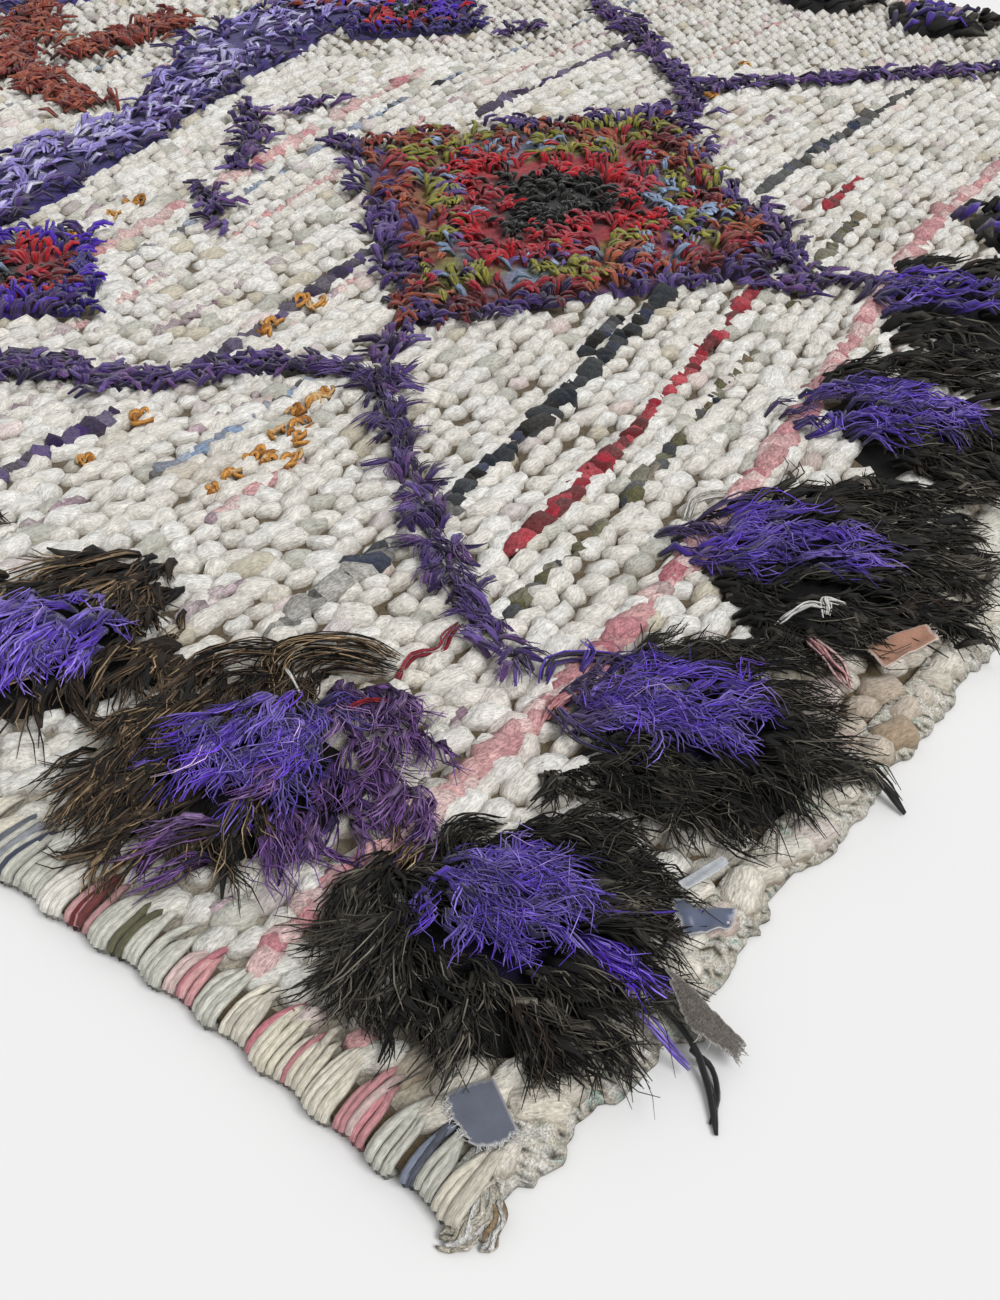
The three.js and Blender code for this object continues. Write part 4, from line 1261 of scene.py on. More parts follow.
def shortTufts(x, t, tint, heading, length, crest=(0.5, 3.2), layer=(0.5, 3.5)):
    # short pile that stands off the weave and tips over
    return tuftsAt(x, t + rowShift(x, t), heading, length, tint, bend=short["twist"], fan=2.2, wave=0.6,
                   crest=crest, layer=layer, loft=1.5)


def shortPile(tufts, grade):
    # every kind of lock of that grade, grown on the tufts
    return gather([growLocks(tufts, *lock) for lock in short[grade]])


def scatterDiamond(row, count, low, high):
    # count places whose |u| + |v| lies between low and high; also that sum, and u
    u, v = draw.uniform(-high, high, (2, count * 4))
    away = np.abs(u) + np.abs(v)
    good = np.flatnonzero((away > low) & (away < high))[:count]
    return row[0] + u[good] * row[2], row[1] + v[good] * row[3], away[good], u[good]


def alongPath(path, count):
    # count places spread along a path of straight stretches, with the way that it runs there
    path = np.array(path, float)
    run = np.concatenate([[0], np.cumsum(np.linalg.norm(np.diff(path, axis=0), axis=1))])
    at = draw.uniform(0, run[-1], count)
    x, t = np.interp(at, run, path[:, 0]), np.interp(at, run, path[:, 1])
    ahead = np.interp(at + 3, run, path[:, 0]) - x, np.interp(at + 3, run, path[:, 1]) - t
    return x, t, np.arctan2(ahead[1], ahead[0]), run[-1]


# The medallions: motif, rings, tufts and how finely they are made, and tufts of the mirrored one.
medallions = (("big", rings, 1500, "fine", 380), ("left", smallRings, 400, "fine", 100),
              ("right", smallRings, 240, "middle", 100))


def makeMedallions():
    # tufts scattered over each medallion, whose rings wander by three sines of the angle round its middle
    sets = []
    for name, table, nearCount, grade, farCount in medallions:
        row = motifs[name]
        for count, centre, chosen in ((nearCount, row[1], grade), (farCount, mirrored(row[1]), "coarse")):
            x, t, r, u = scatterDiamond((row[0], centre, row[2], row[3]), count, 0, 0.98)
            way = np.arctan2(t - centre, x - row[0])
            wander = 0.05 * np.sin(3 * way + 1.0) + 0.04 * np.sin(7 * way + 2.2) + 0.03 * np.sin(11 * way)
            r = np.clip(r + wander + draw.normal(0, short["ragged"], len(r)), 0, 1.1)
            tint = ringTints(r, x, t, u > short["turnsAt"], table)
            heading = patchWay[patchOf(x, t)] + draw.normal(0, short["turn"], len(x))
            tufts = shortTufts(x, t, tint, heading, draw.uniform(*short["long"], len(x)), (0.3, 2.4))
            sets.append(shortPile(tufts, chosen))
    return sets


def makeBelts():
    # the belt's long pile lies along the rows, pale in the middle and dark along its near edge
    sets = []
    for mirror, share, grade in ((False, 1.0, "middle"), (True, belt["mirrorShare"], "coarse")):
        count = int(belt["count"] * share)
        x = draw.uniform(belt["x"][0], belt["x"][-1], count)
        v = draw.uniform(-1, 1, count)
        t = np.interp(x, belt["x"], belt["t"]) + v * np.interp(x, belt["x"], belt["half"])
        tint = mixDyes(belt["dyes"], count, belt["shares"])
        (dark, darkRagged), (blue, blueRagged) = belt["dark"], belt["blue"]
        lower = v < dark + draw.normal(0, darkRagged, count)
        upper = v > blue + draw.normal(0, blueRagged, count)
        tint[lower] = mixDyes("plumDark beltDeep plum", int(lower.sum()))
        tint[upper] = mixDyes("plum beltBlue beltDeep", int(upper.sum()))
        t = mirrored(t) if mirror else t
        heading = np.arctan(rowSlope(x, t)) + draw.normal(0, belt["turn"], count)
        heading = heading + np.pi * draw.integers(0, 2, count)
        tufts = shortTufts(x, t, tint, heading, draw.uniform(*belt["long"], count), (0.3, 2.4))
        sets.append(shortPile(tufts, grade))
    return sets


def scatterPath(path, perLength, spread, shift=0.0):
    # places spread along a path and, by chance, to its sides, with the way that it runs there
    count = int(alongPath(path, 1)[3] * perLength)
    x, t, way, _ = alongPath(path, count)
    x = x + shift + draw.normal(0, spread, count)
    return x, t + draw.normal(0, spread, count), way, count


def makeRust():
    # rust strokes in the middle panel, and the same ones shifted to each side of it
    sets = []
    for shift in rust["shifts"]:
        grade, share = ("coarse", rust["shiftedShare"]) if shift else ("middle", 1.0)
        for stroke in rust["strokes"]:
            spread = rust["half"] * rust["spread"]
            x, t, _, count = scatterPath(stroke, rust["perLength"] * share, spread, shift)
            tint = mixDyes("rust rustLight darkRed", count, [0.55, 0.3, 0.15])
            heading = patchWay[patchOf(x, t)] + draw.normal(0, rust["turn"], count)
            tufts = shortTufts(x, t, tint, heading, draw.uniform(*rust["long"], count))
            sets.append(shortPile(tufts, grade))
    return sets


def makeLattice():
    # purple lines of pile that join the motifs, and the mirrored ones; tufts lie either way along the line
    sets = []
    for mirror in (False, True):
        for path in lattice["paths"]:
            perLength = lattice["perLength"] * (lattice["mirrorShare"] if mirror else 1.0)
            x, t, way, count = scatterPath(path, perLength, lattice["wide"] * lattice["spread"])
            near = (np.hypot(x, t) < lattice["fineTo"]) & (not mirror)
            if mirror:
                t, way = mirrored(t), -way
            heading = way + draw.normal(0, lattice["turn"], count) + np.pi * draw.integers(0, 2, count)
            tint = mixDyes("plum plumDark mauveLock plumLight", count, [0.42, 0.26, 0.18, 0.14])
            length = draw.uniform(*lattice["long"], count)
            tufts = shortTufts(x, t, tint, heading, length, (0.3, 2.6), (0.2, 2.4))
            for chosen, grade in ((near, "lattice"), (~near, "coarse" if mirror else "middle")):
                if chosen.any():
                    sets.append(shortPile(chosenTufts(tufts, chosen), grade))
    addPiece("lattice_pile", gather(sets), "tuftedPile")


motifBed = {
    "inset": 10.0,
    "foot": 4.0,
    "top": 9.2,
    "rings": 11,
    "sides": 40,
    # dark and beltDark darken the mounds and the belt's tube: painted shade
    "dark": 0.75,
    "beltHeight": 5.2,
    "beltHigh": 3.4,
    "beltInset": 2.0,
    "beltDark": 0.8,
}


def makeMotifBeds():
    # low mounds under the medallions and a flat tube under each belt, in darker dyes of the pile over them:
    # painted shade in the pile's gaps
    def tintAt(x, t, u, v):
        # the rings' dyes at |u| + |v|, darkened as painted shade
        r = np.clip(np.abs(u) + np.abs(v), 0, 1).ravel()
        big = abs(x - motifs["big"][0]) < 1
        wide, long = (motifs["big"] if big else motifs["left"])[2:]
        px, pt = x + u.ravel() * wide, t + v.ravel() * long
        tint = ringTints(r, px, pt, u.ravel() > short["turnsAt"], rings if big else smallRings)
        return tint.reshape(*u.shape, 3) * motifBed["dark"]

    rows, inset = [], motifBed["inset"]
    for x, t, across, along in motifs.values():
        size = (across - inset, along - inset, motifBed["foot"], motifBed["top"], 1.0)
        rows += [(x, at, *size) for at in (t, mirrored(t))]
    sets = [domes(rows, tintAt, motifBed["rings"], motifBed["sides"])]
    lines, wide = [], []
    for mirror in (False, True):
        x = np.linspace(belt["x"][0], belt["x"][-1], 60)
        t = np.interp(x, belt["x"], belt["t"])
        lines.append(toPlan(x, mirrored(t) if mirror else t, motifBed["beltHeight"]))
        wide.append(np.interp(x, belt["x"], belt["half"]) - motifBed["beltInset"])
    wide = np.array(wide)
    tint = np.tile(dye["beltDeep"] * motifBed["beltDark"], (2, 1))
    sets.append(carry(np.array(lines), wide, 0 * wide + motifBed["beltHigh"], 12, tint))
    addPiece("motif_shade_beds", gather(sets), "tuftedPile")


addPiece("motif_pile", gather(makeMedallions() + makeBelts() + makeRust()), "tuftedPile")
makeLattice()
makeMotifBeds()
print("pile laid")

# Dyed and ivory yarn wrapped over the edge cord of each selvedge.
wrap = {
    "pitch": 2.35,          # one turn of yarn to the next
    "bundle": 11.6,         # turns pulled together between two weft rows
    # a turn's section, from the weave to the foot
    "across": (21, 16, 11.5, 7.5, 4, 1, -0.3, 0.3, 2.2, 6),
    "high": (6.0, 8.0, 8.9, 9.2, 8.7, 7.2, 5.0, 2.8, 1.4, 1.2),
    "heart": (8.0, 4.6),    # what a turn swells away from
    "half": 1.32,
    "fineTo": 340.0,
    "phases": (0.0, 2.4),   # where the wander of the left and the right selvedge starts
    "repeat": 520.0,        # the dyed bundles come again after this length
    "cordInset": 8.0,
    "cordHeight": 4.0,
    "cordHalf": (6.0, 3.2),
}
wrapDyes = [  # dyed bundles: y from, y to, dye
    (19, 27, "navy"), (27, 35, "greige"), (35, 47, "rose"), (67, 81, "mauve"), (107, 119, "pink"),
    (138, 146, "olive"), (157, 166, "crimson"), (190, 204, "greyBlue"), (240, 250, "rose"),
    (302, 318, "greyBlue"), (372, 380, "crimson"), (441, 455, "mauve"),
]


wrapMixes = {  # yarns that lie together in a dyed bundle
    "navy": "navy navy greyBlue", "rose": "rose rose crimson pinkLight",
    "mauve": "mauveDeep mauve rose oat", "pink": "pink rose pinkLight",
    "crimson": "crimson darkRed crimson rose", "greyBlue": "greyBlue greige navy",
    "olive": "olive groove",
}


def wrapTints(y, bundle):
    # a dye for each bundle, with a little of its own on each turn
    table = dyeTable("greige cream endCream oat")
    lot = draw.choice(4, int(bundle.max()) + 2, p=[0.35, 0.3, 0.25, 0.1])
    tint = table[lot[bundle.astype(int)]]
    place = np.mod(y, wrap["repeat"])
    for low, high, name in wrapDyes:
        hit = (place >= low) & (place < high)
        tint[hit] = mixDyes(wrapMixes.get(name, name), int(hit.sum()))
    tint = blendTo(tint, dye["greige"], draw.uniform(0, 0.35, (len(y), 1)))
    return tint * draw.normal(1, 0.1, (len(y), 1))


def wrapTurns(rightSide, low, high, steps, sides, coarse):
    # A turn follows the section in wrap, swollen away from its heart in the middle of its bundle by
    # 0.84 + 0.2 sin(pi q)^0.7, where q is its place in the bundle, and pinched to the bundle's middle
    # inside.
    t = np.arange(low, high, wrap["pitch"] * coarse)
    n = len(t)
    bundle = np.floor(t / wrap["bundle"])
    q = t / wrap["bundle"] - bundle
    swell = (0.84 + 0.2 * np.sin(np.pi * np.clip(q, 0.04, 0.96)) ** 0.7)[:, None]
    s = np.linspace(0, 1, steps)
    at = np.linspace(0, 1, len(wrap["across"]))
    across = np.interp(s, at, wrap["across"])[None, :]
    high = np.interp(s, at, wrap["high"])[None, :]
    far = smooth(across, 8, 20)
    heartAcross, heartHigh = wrap["heart"]
    swollen = heartAcross + (across - heartAcross) * blendTo(1, swell, 0.25)
    across = np.where(across < 12, swollen, across)
    high = heartHigh + (high - heartHigh) * blendTo(swell, 1, far)
    out = selvedgeOut(t, wrap["phases"][rightSide])[:, None]
    across = across - far * draw.uniform(-2, 5, (n, 1)) - out * (1 - far)
    z = high + draw.normal(0, 0.32, (n, 1))
    pull = (0.5 - q)[:, None] * wrap["bundle"] * (0.55 * far + 0.12 * (1 - far))
    warp = t[:, None] + pull + 1.2 * smooth(across, 2, 20) + draw.normal(0, 0.35, (n, 1))
    warp = warp + draw.normal(0, 0.9, (n, 1)) * smooth(across, 3, 18)
    x = cloth["width"] - across if rightSide else across
    y = warp + rowShift(cloth["width"] if rightSide else 0.0, warp)
    half = np.full((n, steps), wrap["half"] * coarse) * draw.uniform(0.88, 1.15, (n, 1))
    half[:, 0] *= 0.5
    half[:, -1] *= 0.5
    z = np.maximum(z, half + 0.05)
    tint = wrapTints(y[:, 0] if not rightSide else y[:, 0] + 200, bundle)
    # painted shade: each turn darkens towards its foot, down to 0.45, and on its underside
    dark = smooth(z, 0.5, 6.5)[..., None]
    tint = tint[:, None, :] * blendTo(0.45, 1.0, dark)
    return carry(np.stack([x, y, z], axis=2), half, half, sides, tint, under=0.5)


def makeSelvedges():
    # a cord along each selvedge, which sways with it, and the turns of yarn over it
    cord = []
    t = np.linspace(2, cloth["length"] - 2, 180)
    for rightSide in (False, True):
        out = selvedgeOut(t, wrap["phases"][rightSide])
        inset = wrap["cordInset"] - out
        x = cloth["width"] - inset if rightSide else inset
        cord.append(np.stack([x, t + rowShift(x, t), 0 * t + wrap["cordHeight"]], axis=1))
    cord = np.array(cord)
    wide, high = [np.full(cord.shape[:2], half) for half in wrap["cordHalf"]]
    # the cord takes the groove's colour: painted shade in the gaps between the turns
    core = carry(cord, wide, high, 8, np.tile(dye["groove"], (2, 1)))
    length = cloth["length"] - 3
    sets = [core, wrapTurns(False, 3, wrap["fineTo"], 10, 6, 1.0),
            wrapTurns(False, wrap["fineTo"], length, 6, 4, 2.3), wrapTurns(True, 3, length, 6, 4, 2.6)]
    return addPiece("wrapped_selvedges", gather(sets), "wrapYarn")


# The ends: the last wefts, matted with cut warp ends.
fray = {
    "out": 3.0,
    "bands": [(61, 1.3, 0.4), (34, 1.0, 2.2), (143, 1.2, 5.1)],     # pitch, depth, phase
    # x, how far it stands out there, half width
    "nubs": [(-1, 2, 5), (12, -2, 5), (56, 2, 10), (88, 9, 8), (112, 6, 14), (150, -3, 12), (178, 3, 12)],
    "inner": 13.0,
    "fineTo": 360.0,
    "steps": (1.3, 7.0),    # fine and coarse
    "high": 7.2,
    "fall": 4.6,
    "least": 1.4,
}


def frayOut(x, phase, nubs):
    # out + sum depth sin(2 pi x / pitch + start + phase) + sum out exp(-((x - nub) / half)^2)
    total = fray["out"] + 0 * x
    for pitch, depth, start in fray["bands"]:
        total = total + depth * np.sin(2 * np.pi * x / pitch + start + phase)
    for at, out, half in nubs:
        total = total + out * np.exp(-((x - at) / half) ** 2)
    return total


def ragged(x, scale, seed):
    # rough outline: value noise, linear between random heights at even steps
    stops = np.random.default_rng(seed).uniform(-1, 1, int(cloth["width"] / scale) + 4)
    return np.interp(x / scale + 1, np.arange(len(stops)), stops)


def endFelt(far, phase, nubs, seed):
    # A mat along the end: across it s goes from the last rows (0) to the torn rim (1), and its height is
    # high - fall s^2.4 with rough value noise. The section is closed by a flat foot.
    fineStep, coarseStep = fray["steps"]
    fine = np.arange(-1.0, fray["fineTo"], coarseStep if far else fineStep)
    x = np.concatenate([fine, np.arange(fray["fineTo"], cloth["width"] + 1, coarseStep)])
    s = np.linspace(0, 1, 9)
    edge = frayOut(x, phase, nubs) + 1.6 * ragged(x + 3, 3.1, seed) + 1.2 * ragged(x + 3, 7.3, seed + 1)
    reach = np.maximum(edge, 0.6)[:, None] + fray["inner"]
    away = -fray["inner"] + reach * s
    rough = np.stack([ragged(x + 3, 2.7, seed + 5 + k) + 0.6 * ragged(x + 3, 6.1, seed + 25 + k)
                      for k in range(len(s))], axis=1)
    z = fray["high"] - fray["fall"] * s ** 2.4 + rough * (0.9 - 0.4 * s)
    z = np.maximum(z, fray["least"])
    at = cloth["length"] if far else 0.0
    sign = 1 if far else -1
    xs = x[:, None] + 0 * s + 0.8 * rough
    place = at + sign * np.maximum(-fray["inner"], away)
    top = np.stack([xs, place + rowShift(xs, np.full(xs.shape, at)), z], axis=2)
    foot = top.copy()
    foot[:, :, 2] = 0.15 + 0.5 * s ** 3
    loop = np.concatenate([top, foot[:, ::-1]], axis=1)
    if far:
        loop = loop[:, ::-1]
    n, m = loop.shape[:2]
    count = n * m
    tint = mixDyes("endCream endSage cream oat speck mint", count,
                   [0.34, 0.14, 0.3, 0.06, 0.12, 0.04])
    nubShare = np.exp(-((loop[..., 0].ravel() - 2) / 16) ** 2)[:, None] * 0.8
    tint = blendTo(tint, dye["ivory"], nubShare * draw.uniform(0.3, 1, (count, 1)))
    flat = loop.reshape(-1, 3)
    # painted shade: lower points darker, down to 0.55 at the foot
    tint = tint * (0.55 + 0.45 * smooth(flat[:, 2:3], 0.4, 5.0))
    return {"points": flat, "faces": tubeFaces(1, n, m, True), "tint": tint, "grain": flat}


def makeEnds():
    # the torn end at the corner, and a plainer one at the far end
    part = gather([endFelt(False, 0.0, fray["nubs"], 31), endFelt(True, 1.7, [], 67)])
    return addPiece("matted_ends", part, "felted")


edgePieces = [makeSelvedges(), makeEnds()]
print("edges made")

# Offcuts of cloth knotted into the weave with the yarn. Corners are near left, near right, far right and
# far left, in millimetres; bow pushes each edge outwards, in the order near, right, far, left.
scraps = {
    "satin": {
        "corners": [(13.0, 13.0, 10.6), (24.5, 5.5, 10.2), (33.0, 21.0, 11.2), (20.0, 28.5, 10.4)],
        "bow": (2.4, 0.0, 0.6, 0.8), "ripple": 0.35, "tear": (0.5, 0.0, 0.3, 0.9), "dye": "satin",
        "finish": "satin", "fray": (("near", 26), ("left", 40)),
    },
    "peach": {
        "corners": [(258.0, 20.0, 12.4), (285.0, 12.0, 13.6), (289.0, 19.0, 14.6), (266.0, 34.0, 12.6)],
        "bow": (-1.5, 0.3, 0.5, 0.8), "ripple": 0.8, "tear": (0.3, 0.2, 0.3, 0.3), "dye": "peach",
        "finish": "cotton", "fray": (("right", 10),),
    },
    "strip": {
        "corners": [(118.5, 15.4, 16.5), (141.5, 13.6, 11.5), (142.0, 16.6, 11.5), (119.5, 19.0, 16.5)],
        "bow": (0.3, 0.2, 0.3, 0.2), "ripple": 0.25, "tear": (0.1, 0.2, 0.1, 0.2), "dye": "strip",
        "finish": "cotton", "fray": (),
    },
    "blue": {
        "corners": [(107.0, 7.0, 13.2), (119.0, -1.0, 11.6), (128.0, 2.0, 10.2), (115.0, 18.5, 13.4)],
        "bow": (1.2, 0.2, 0.4, 0.9), "ripple": 1.3, "tear": (0.5, 0.3, 0.2, 0.3), "dye": "ragBlue",
        "finish": "satin", "fray": (("left", 16),),
    },
    "felt": {
        "corners": [(78.5, -13.0, 13.6), (82.5, -27.0, 5.6), (91.0, -25.0, 5.8), (92.0, 6.5, 15.6)],
        "bow": (0.8, 0.3, -1.2, 1.2), "ripple": 1.0, "tear": (0.7, 0.6, 0.7, 0.7), "dye": "felt",
        "finish": "felted", "fray": (("near", 12), ("right", 8)),
    },
}
scrapMesh = {"points": 17, "thick": 0.6, "leastSheet": 0.01}     # points a side, mm, and metres


def scrapTop(scrap, u, v, seed):
    # P(u, v) = bilinear patch of the corners + bows 4 w (1 - w) along each edge + ripples of low sines; the
    # tear is value noise that draws the rim in.
    near, right, far, left = scrap["bow"]
    tearNear, tearRight, tearFar, tearLeft = scrap["tear"]
    c = np.array(scrap["corners"])
    pullU, pullV = tearRight * u - tearLeft * (1 - u), tearFar * v - tearNear * (1 - v)
    u = u + 0.07 * pullU * (ragged(40 * v, 1.7, seed) - 1)
    v = v + 0.07 * pullV * (ragged(40 * u, 1.9, seed + 1) - 1)
    point = ((1 - u) * (1 - v))[..., None] * c[0] + (u * (1 - v))[..., None] * c[1]
    point = point + (u * v)[..., None] * c[2] + ((1 - u) * v)[..., None] * c[3]
    alongU, alongV = unit(c[1] - c[0], 0.0), unit(c[3] - c[0], 0.0)
    point = point + (4 * u * (1 - u) * (far * v - near * (1 - v)))[..., None] * alongV
    point = point + (4 * v * (1 - v) * (right * u - left * (1 - u)))[..., None] * alongU
    wave = np.sin(5.1 * u + 2.3 * v + seed) + 0.7 * np.sin(7.7 * v - 3.2 * u + 2 * seed)
    wave = wave + 0.4 * np.sin(13 * u + seed)
    point[..., 2] += scrap["ripple"] * wave
    return point


def frayedEdge(scrap, side, count, seed):
    # short pale threads that stand out of a torn edge
    w = draw.uniform(0.05, 0.95, count)
    edge = {"near": (w, 0 * w), "far": (w, 0 * w + 1), "left": (0 * w, w), "right": (0 * w + 1, w)}[side]
    inner = {"near": (w, 0 * w + 0.15), "far": (w, 0 * w + 0.85), "left": (0 * w + 0.15, w),
             "right": (0 * w + 0.85, w)}[side]
    root, back = scrapTop(scrap, *edge, seed), scrapTop(scrap, *inner, seed)
    out = unit(root - back, 0.0)
    aside = np.cross(out, [0.0, 0.0, 1.0])
    s = np.linspace(0, 1, 5)
    reach = draw.uniform(0.8, 2.8, (count, 1))
    stray = draw.normal(0, 1.3, (count, 1)) * s ** 1.5
    paths = root[:, None] + out[:, None] * ((s - 0.2) * reach)[..., None]
    paths = paths + aside[:, None] * stray[..., None]
    paths[..., 2] += 0.25 * np.sin(6 * s + draw.uniform(0, 6, (count, 1)))
    half = np.full((count, 5), 0.11)
    tint = blendTo(np.tile(dye[scrap["dye"]], (count, 1)), dye["white"], draw.uniform(0.35, 1, (count, 1)))
    return carry(paths, half, half, 3, tint)


def makeScrap(name, scrap, seed):
    # A rag: a slab whose underside lies thick below its top, with loose threads at its torn edges. Its flat
    # size is the mean of its opposite sides.
    s = np.linspace(0, 1, scrapMesh["points"])
    u, v = np.meshgrid(s, s, indexing="ij")
    top = scrapTop(scrap, u, v, seed)
    under = top.copy()
    under[..., 2] -= scrapMesh["thick"]
    rim = np.minimum.reduce([u, v, 1 - u, 1 - v])
    pale = 0.45 * (1 - smooth(rim, 0.0, 0.05))[..., None]
    tint = blendTo(dye[scrap["dye"]] * (1 + 0 * u[..., None]), dye["white"], pale)
    sets = [slabOf(top, under, tint)]
    sets += [frayedEdge(scrap, side, count, seed) for side, count in scrap["fray"]]
    piece = addPiece(f"scrap_{name}", gather(sets), scrap["finish"])
    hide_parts(f"rag_{name}")
    return piece


scrapPieces = {name: makeScrap(name, scrap, 3 + 5 * k) for k, (name, scrap) in enumerate(scraps.items())}
print("scraps laid")

# Loose yarn: ends of knots, tails and tangles that lie on the rug. Each is control points (x, y, z),
# threads in it, half width of a thread, how far the threads spread, and the dyes they take.
ropes = {
    "gloss_tail": [
        ([(84, 6, 12), (80, -12, 7), (75, -21, 3), (70, -27, 1.5), (62, -33, 0.9)], 3, 1.0, 0.9, "soot"),
        ([(78, -14, 6), (79, -21, 3), (73, -27, 1.4), (64, -30, 0.9)], 2, 0.8, 0.6, "soot"),
        ([(200, 20, 13), (207, 10, 12), (209, -1, 8), (209, -9, 4.5), (206, -16, 1.5)],
         3, 1.1, 0.8, "soot"),
    ],
    "violet_ends": [
        ([(83, 34, 17), (79, 19, 15), (76, 3, 12), (74, -8, 9), (73, -17, 5)],
         5, 0.5, 1.2, "violet violetLight plum"),
        ([(96, 30, 17), (104, 22, 15), (112, 15, 14), (118, 9, 13)], 4, 0.45, 0.8, "violet plum"),
        ([(174, 112, 13), (185, 116, 14.5), (197, 104, 14), (201, 90, 13), (186, 79, 13), (171, 93, 12)],
         9, 0.55, 2.6, "plumDark plum violet"),
        ([(166, 104, 12), (160, 90, 13), (158, 76, 14), (160, 62, 14)],
         8, 0.5, 3.0, "plumDark soot violetDeep violet"),
    ],
    "brown_hump": [
        ([(112, 188, 9), (122, 195, 12), (134, 191, 13.5), (145, 180, 12), (150, 166, 10)],
         34, 0.36, 8.0, "brownWorn brown black tan"),
        ([(114, 174, 10), (124, 182, 12.5), (136, 177, 13), (145, 164, 11)],
         22, 0.36, 6.5, "brownWorn brown black"),
        ([(92, 210, 10), (104, 214, 12.5), (118, 206, 13), (128, 196, 11)],
         28, 0.36, 8.0, "brown brownWorn black"),
        ([(86, 196, 11), (97, 202, 13), (109, 198, 13), (118, 188, 11)],
         18, 0.36, 6.5, "brown brownWorn black"),
    ],
    "black_lump": [
        ([(88, 72, 13), (92, 80, 15), (98, 83, 15), (105, 79, 13)], 22, 0.34, 6.0, "blackWorn black soot"),
        ([(85, 77, 13), (92, 85, 15), (101, 85, 14), (108, 81, 11)], 16, 0.34, 4.6, "black blackWorn soot"),
    ],
    "white_wisps": [
        ([(257, 63, 15), (262, 60, 18), (269, 57, 18), (274, 52, 15.5)], 9, 0.6, 2.4, "white ivory"),
        ([(270, 51, 16), (275, 55, 18.5), (281, 50, 15.5)], 8, 0.55, 2.0, "white"),
        ([(118, 188, 15), (114, 180, 17), (110, 172, 15)], 3, 0.4, 0.9, "white"),
        ([(303, 136, 8), (314, 139, 11), (327, 134, 10), (334, 126, 7)],
         8, 0.5, 2.4, "white ivory endCream"),
        ([(322, 116, 11), (324, 110, 13), (320, 103, 10)], 5, 0.45, 1.3, "white"),
        ([(30, 40, 12), (38, 47, 14.5), (50, 53, 14)], 2, 0.4, 0.6, "white"),
    ],
    "corner_nub": [
        ([(10, 4, 6), (5, 2, 6), (0, 1, 5), (-4, 1, 3), (-7, 3, 1.6)],
         18, 1.05, 3.2, "white endCream ivory oat"),
        ([(9, 0, 5), (5, -3, 4.4), (1, -5, 3), (-2, -5, 1.6)], 12, 0.9, 2.4, "white endCream ivory tan"),
    ],
    "red_ends": [
        ([(113, 156, 14), (122, 152, 17), (132, 143, 14)], 6, 0.55, 1.3, "crimson redLight"),
        ([(146, 159, 8), (158, 161, 10.5), (168, 157, 9), (176, 160, 10), (188, 164, 7)],
         5, 0.6, 1.6, "crimson redLight rose"),
        ([(256, 50, 13), (250, 42, 15.5), (246, 32, 13.5), (243, 26, 11)],
         9, 0.7, 2.6, "pink rose pinkLight"),
        ([(160, 101, 9), (168, 100, 13), (177, 97, 12), (183, 92, 9)], 9, 0.9, 2.4, "pink rose pink"),
    ],
}
knot = {"loops": 4, "steps": 8, "half": 1.45, "height": 9.0}
ropeSteps = 12
# Loops of orange yarn tied into the rows: x, t, size.
orangeKnots = [
    (285, 313, 5), (274, 312, 4), (262, 314, 5), (256, 303, 6), (246, 296, 5), (229, 288, 5), (245, 309, 4),
    (222, 302, 4), (223, 294, 6), (206, 300, 4), (190, 300, 3), (212, 370, 6), (171, 362, 4), (351, 385, 6),
    (353, 376, 7), (322, 382, 5), (313, 378, 4), (327, 555, 4), (389, 557, 6), (366, 556, 4), (861, 337, 5),
    (785, 320, 5), (799, 327, 4),
]


def smoothWay(points, steps):
    # Catmull-Rom curve through the points:
    # 0.5 (2b + (c - a) s + (2a - 5b + 4c - d) s^2 + (3b - a - 3c + d) s^3)
    p = np.array(points, float)
    p = np.vstack([2 * p[0] - p[1], p, 2 * p[-1] - p[-2]])
    at = np.linspace(0, len(points) - 1 - 1e-6, steps)
    k = at.astype(int)
    s = (at - k)[:, None]
    a, b, c, d = p[k], p[k + 1], p[k + 2], p[k + 3]
    square, cube = 2 * a - 5 * b + 4 * c - d, 3 * b - a - 3 * c + d
    return 0.5 * (2 * b + (c - a) * s + square * s ** 2 + cube * s ** 3)


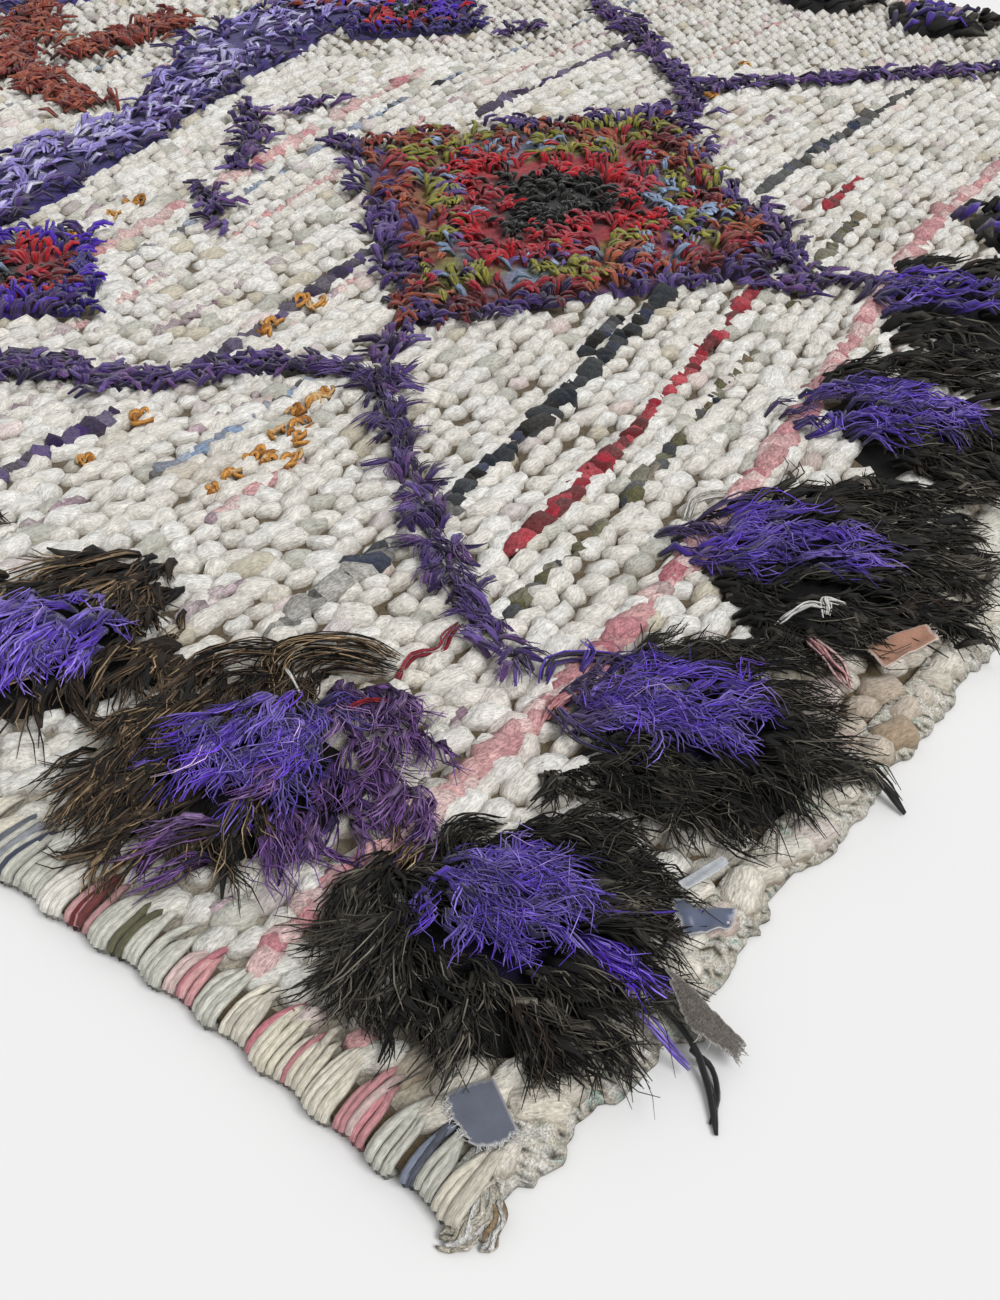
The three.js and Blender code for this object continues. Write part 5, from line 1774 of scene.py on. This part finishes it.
def makeRope(rope, sides):
    # threads side by side along one smooth line: each is shifted in its section by a fixed amount and
    # sways by a sine of its own, so that they cross; the spread opens along the line by 0.7 + 0.5 sin(3 s)
    way, n, thick, spread, dyes = rope
    line = smoothWay(way, ropeSteps)
    s = np.linspace(0, 1, ropeSteps)
    tangent = np.gradient(line, axis=0)
    side = unit(np.cross(tangent, [0.0, 0.0, 1.0]))
    place = np.sqrt(draw.uniform(0, 1, n)) * np.exp(1j * draw.uniform(0, 2 * np.pi, n))
    opened = spread * (0.7 + 0.5 * np.sin(3 * s))
    turns = draw.uniform(0.6, 2.2, (n, 1))
    sway = 0.32 * spread * np.sin(2 * np.pi * turns * s + draw.uniform(0, 6.3, (n, 1)))
    across = place.real[:, None] * opened + sway
    up = 0.5 * place.imag[:, None] * opened + 0.4 * sway
    slide = draw.normal(0, 0.5 * spread, (n, 1, 1)) * unit(tangent)
    paths = line + slide + across[..., None] * side
    paths[..., 2] = np.maximum(paths[..., 2] + up, thick + 0.1)
    half = thick * draw.uniform(0.7, 1.2, (n, 1)) * np.interp(s, [0, 0.1, 0.85, 1], [0.7, 1, 0.95, 0.4])
    tint = mixDyes(dyes, n) * draw.normal(1, 0.14, (n, 1))
    # the threads' undersides darken to 0.45: painted shade
    return carry(paths, half, half, sides, tint, under=0.45)


def knotLoops():
    # knots of orange yarn: short loops, each an arc of a circle of up to the knot's size, at odd angles
    sets = []
    n, steps = knot["loops"], knot["steps"]
    s = np.linspace(0, 1, steps)
    for x, t, size in orangeKnots:
        start = draw.uniform(0, 6.3, (n, 1))
        turn = draw.uniform(1.5, 4.0, (n, 1)) * s
        radius = size * draw.uniform(0.5, 1.0, (n, 1))
        cx, cy = draw.normal(0, 0.35 * size, (2, n, 1))
        px = x + cx + radius * np.cos(start + turn)
        pt = t + cy + 0.7 * radius * np.sin(start + turn)
        z = knot["height"] + draw.uniform(0.3, 2.0, (n, 1)) * np.sin(np.pi * s) - 1.5 * (2 * s - 1) ** 4
        paths = np.stack([px, pt + rowShift(px, pt), z], axis=2)
        half = np.full((n, steps), knot["half"]) * draw.uniform(0.7, 1.2, (n, 1))
        tint = mixDyes("orange orangeLight orange amber", n)
        # the loops' undersides darken to 0.6: painted shade
        sets.append(carry(paths, half, half, 3, tint, under=0.6))
    return sets


def makeExtras():
    # the ropes of each group, then the orange knots
    made = []
    plan = {"gloss_tail": ("acrylicPile", "pile_black"), "violet_ends": ("acrylicPile", "pile_violet"),
            "brown_hump": ("blackPile", "pile_black"), "black_lump": ("blackPile", "pile_black"),
            "white_wisps": ("cardedWool", "weave"), "red_ends": ("dyedWeft", "weave"),
            "corner_nub": ("felted", "weave")}
    for name, group in ropes.items():
        finish, slot = plan[name]
        sides = 5 if name == "gloss_tail" else 3
        part = gather([makeRope(rope, sides) for rope in group])
        made.append(addPiece(name, part, finish))
    made.append(addPiece("orange_knots", gather(knotLoops()), "dyedWeft"))
    return made


makeExtras()
print("loose yarn laid")

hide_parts("rug")
print(f"in all: {sum(triangleTotal)} triangles")
